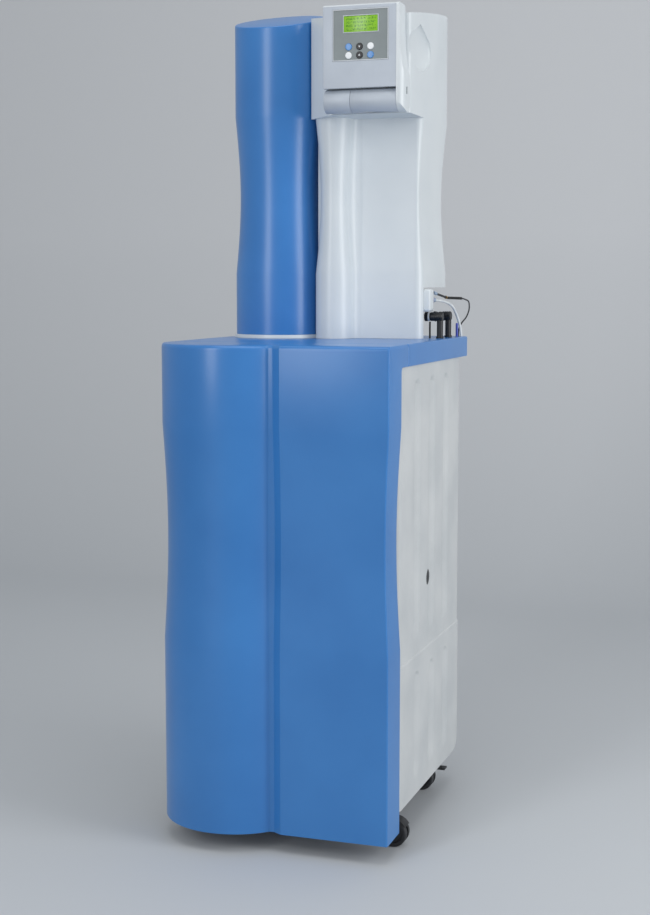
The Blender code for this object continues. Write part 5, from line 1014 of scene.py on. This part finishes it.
def makeStudio():
    # a paper sweep that runs along the floor and bends up behind the object, its one paper painted darker on the
    # floor and lighter up the wall as painted shade and light
    st = studio
    bend = arcPoints((st["rise"], st["bend"]), st["bend"], -90, 0, 18)[1:]
    profile = [(st["front"], 0), (st["rise"], 0)] + bend + [(st["rise"] + st["bend"], st["wall"])]
    shape = bmesh.new()
    rows = [[shape.verts.new((x, y, z)) for y, z in profile] for x in (-st["half"], st["half"])]
    for i in range(len(profile) - 1):
        shape.faces.new((rows[0][i], rows[1][i], rows[1][i + 1], rows[0][i + 1]))
    mesh = bpy.data.meshes.new("studioSweep")
    shape.to_mesh(mesh)
    shape.free()
    mesh.shade_smooth()
    sweep = bpy.data.objects.new("studioSweep", mesh)
    bpy.context.scene.collection.objects.link(sweep)
    paper, tree, shader, where = blankMaterial("studioPaperWithPaintedLight")
    height = addNode(tree, "ShaderNodeSeparateXYZ", "Z", {"Vector": where})
    # painted light: the paper turns from the darker floor colour to the lighter back colour over the first fade
    # metres of height
    rise = addNode(tree, "ShaderNodeMapRange", "Result", {"Value": height, "From Max": st["fade"]})
    colour = addNode(tree, "ShaderNodeMix", "Result",
                     {"Factor": rise, "A": linear(st["floor"]), "B": linear(st["back"])}, data_type="RGBA")
    wire(tree, shader, {"Base Color": colour, "Roughness": st["rough"]})
    mesh.materials.append(paper)
    world = bpy.data.worlds.new("studioAir")
    world.use_nodes = True
    air = world.node_tree.nodes["Background"]
    wire(world.node_tree, air, {"Color": linear(st["world"]), "Strength": st["worldPower"]})
    bpy.context.scene.world = world


def makeLamp(name, at, aim, wide, high, power):
    data = bpy.data.lights.new(name, "AREA")
    data.shape, data.size, data.size_y, data.energy = "RECTANGLE", wide, high, power
    lamp = bpy.data.objects.new(name, data)
    lamp.location = at
    lamp.rotation_euler = (Vector(aim) - Vector(at)).to_track_quat("-Z", "Y").to_euler()
    bpy.context.scene.collection.objects.link(lamp)


makeStudio()
# place, the point that it faces, width, height and power
makeLamp("softFront", (-0.9, -3.0, 1.9), (0, 0, 0.9), 0.8, 2.2, 27)
makeLamp("softRight", (2.8, -0.6, 1.5), (0.1, 0, 0.8), 1.4, 2.2, 40)
makeLamp("softTop", (0.2, -0.4, 3.4), (0, 0.2, 0.9), 2.0, 2.0, 20)

cameraPlan = dict(at=(0.96275, -2.78927, 1.01164), yaw=18.6566, pitch=6.3825, lens=61.38)
cameraData = bpy.data.cameras.new("photoCamera")
cameraData.lens, cameraData.sensor_width, cameraData.sensor_fit = cameraPlan["lens"], 36, "AUTO"
cameraData.clip_start, cameraData.clip_end = 0.05, 60
camera = bpy.data.objects.new("photoCamera", cameraData)
camera.location = cameraPlan["at"]
camera.rotation_euler = (math.radians(90 - cameraPlan["pitch"]), 0, math.radians(cameraPlan["yaw"]))
bpy.context.scene.collection.objects.link(camera)
bpy.context.scene.camera = camera
bpy.context.scene.view_settings.view_transform = "Standard"
print("stage: studio made")
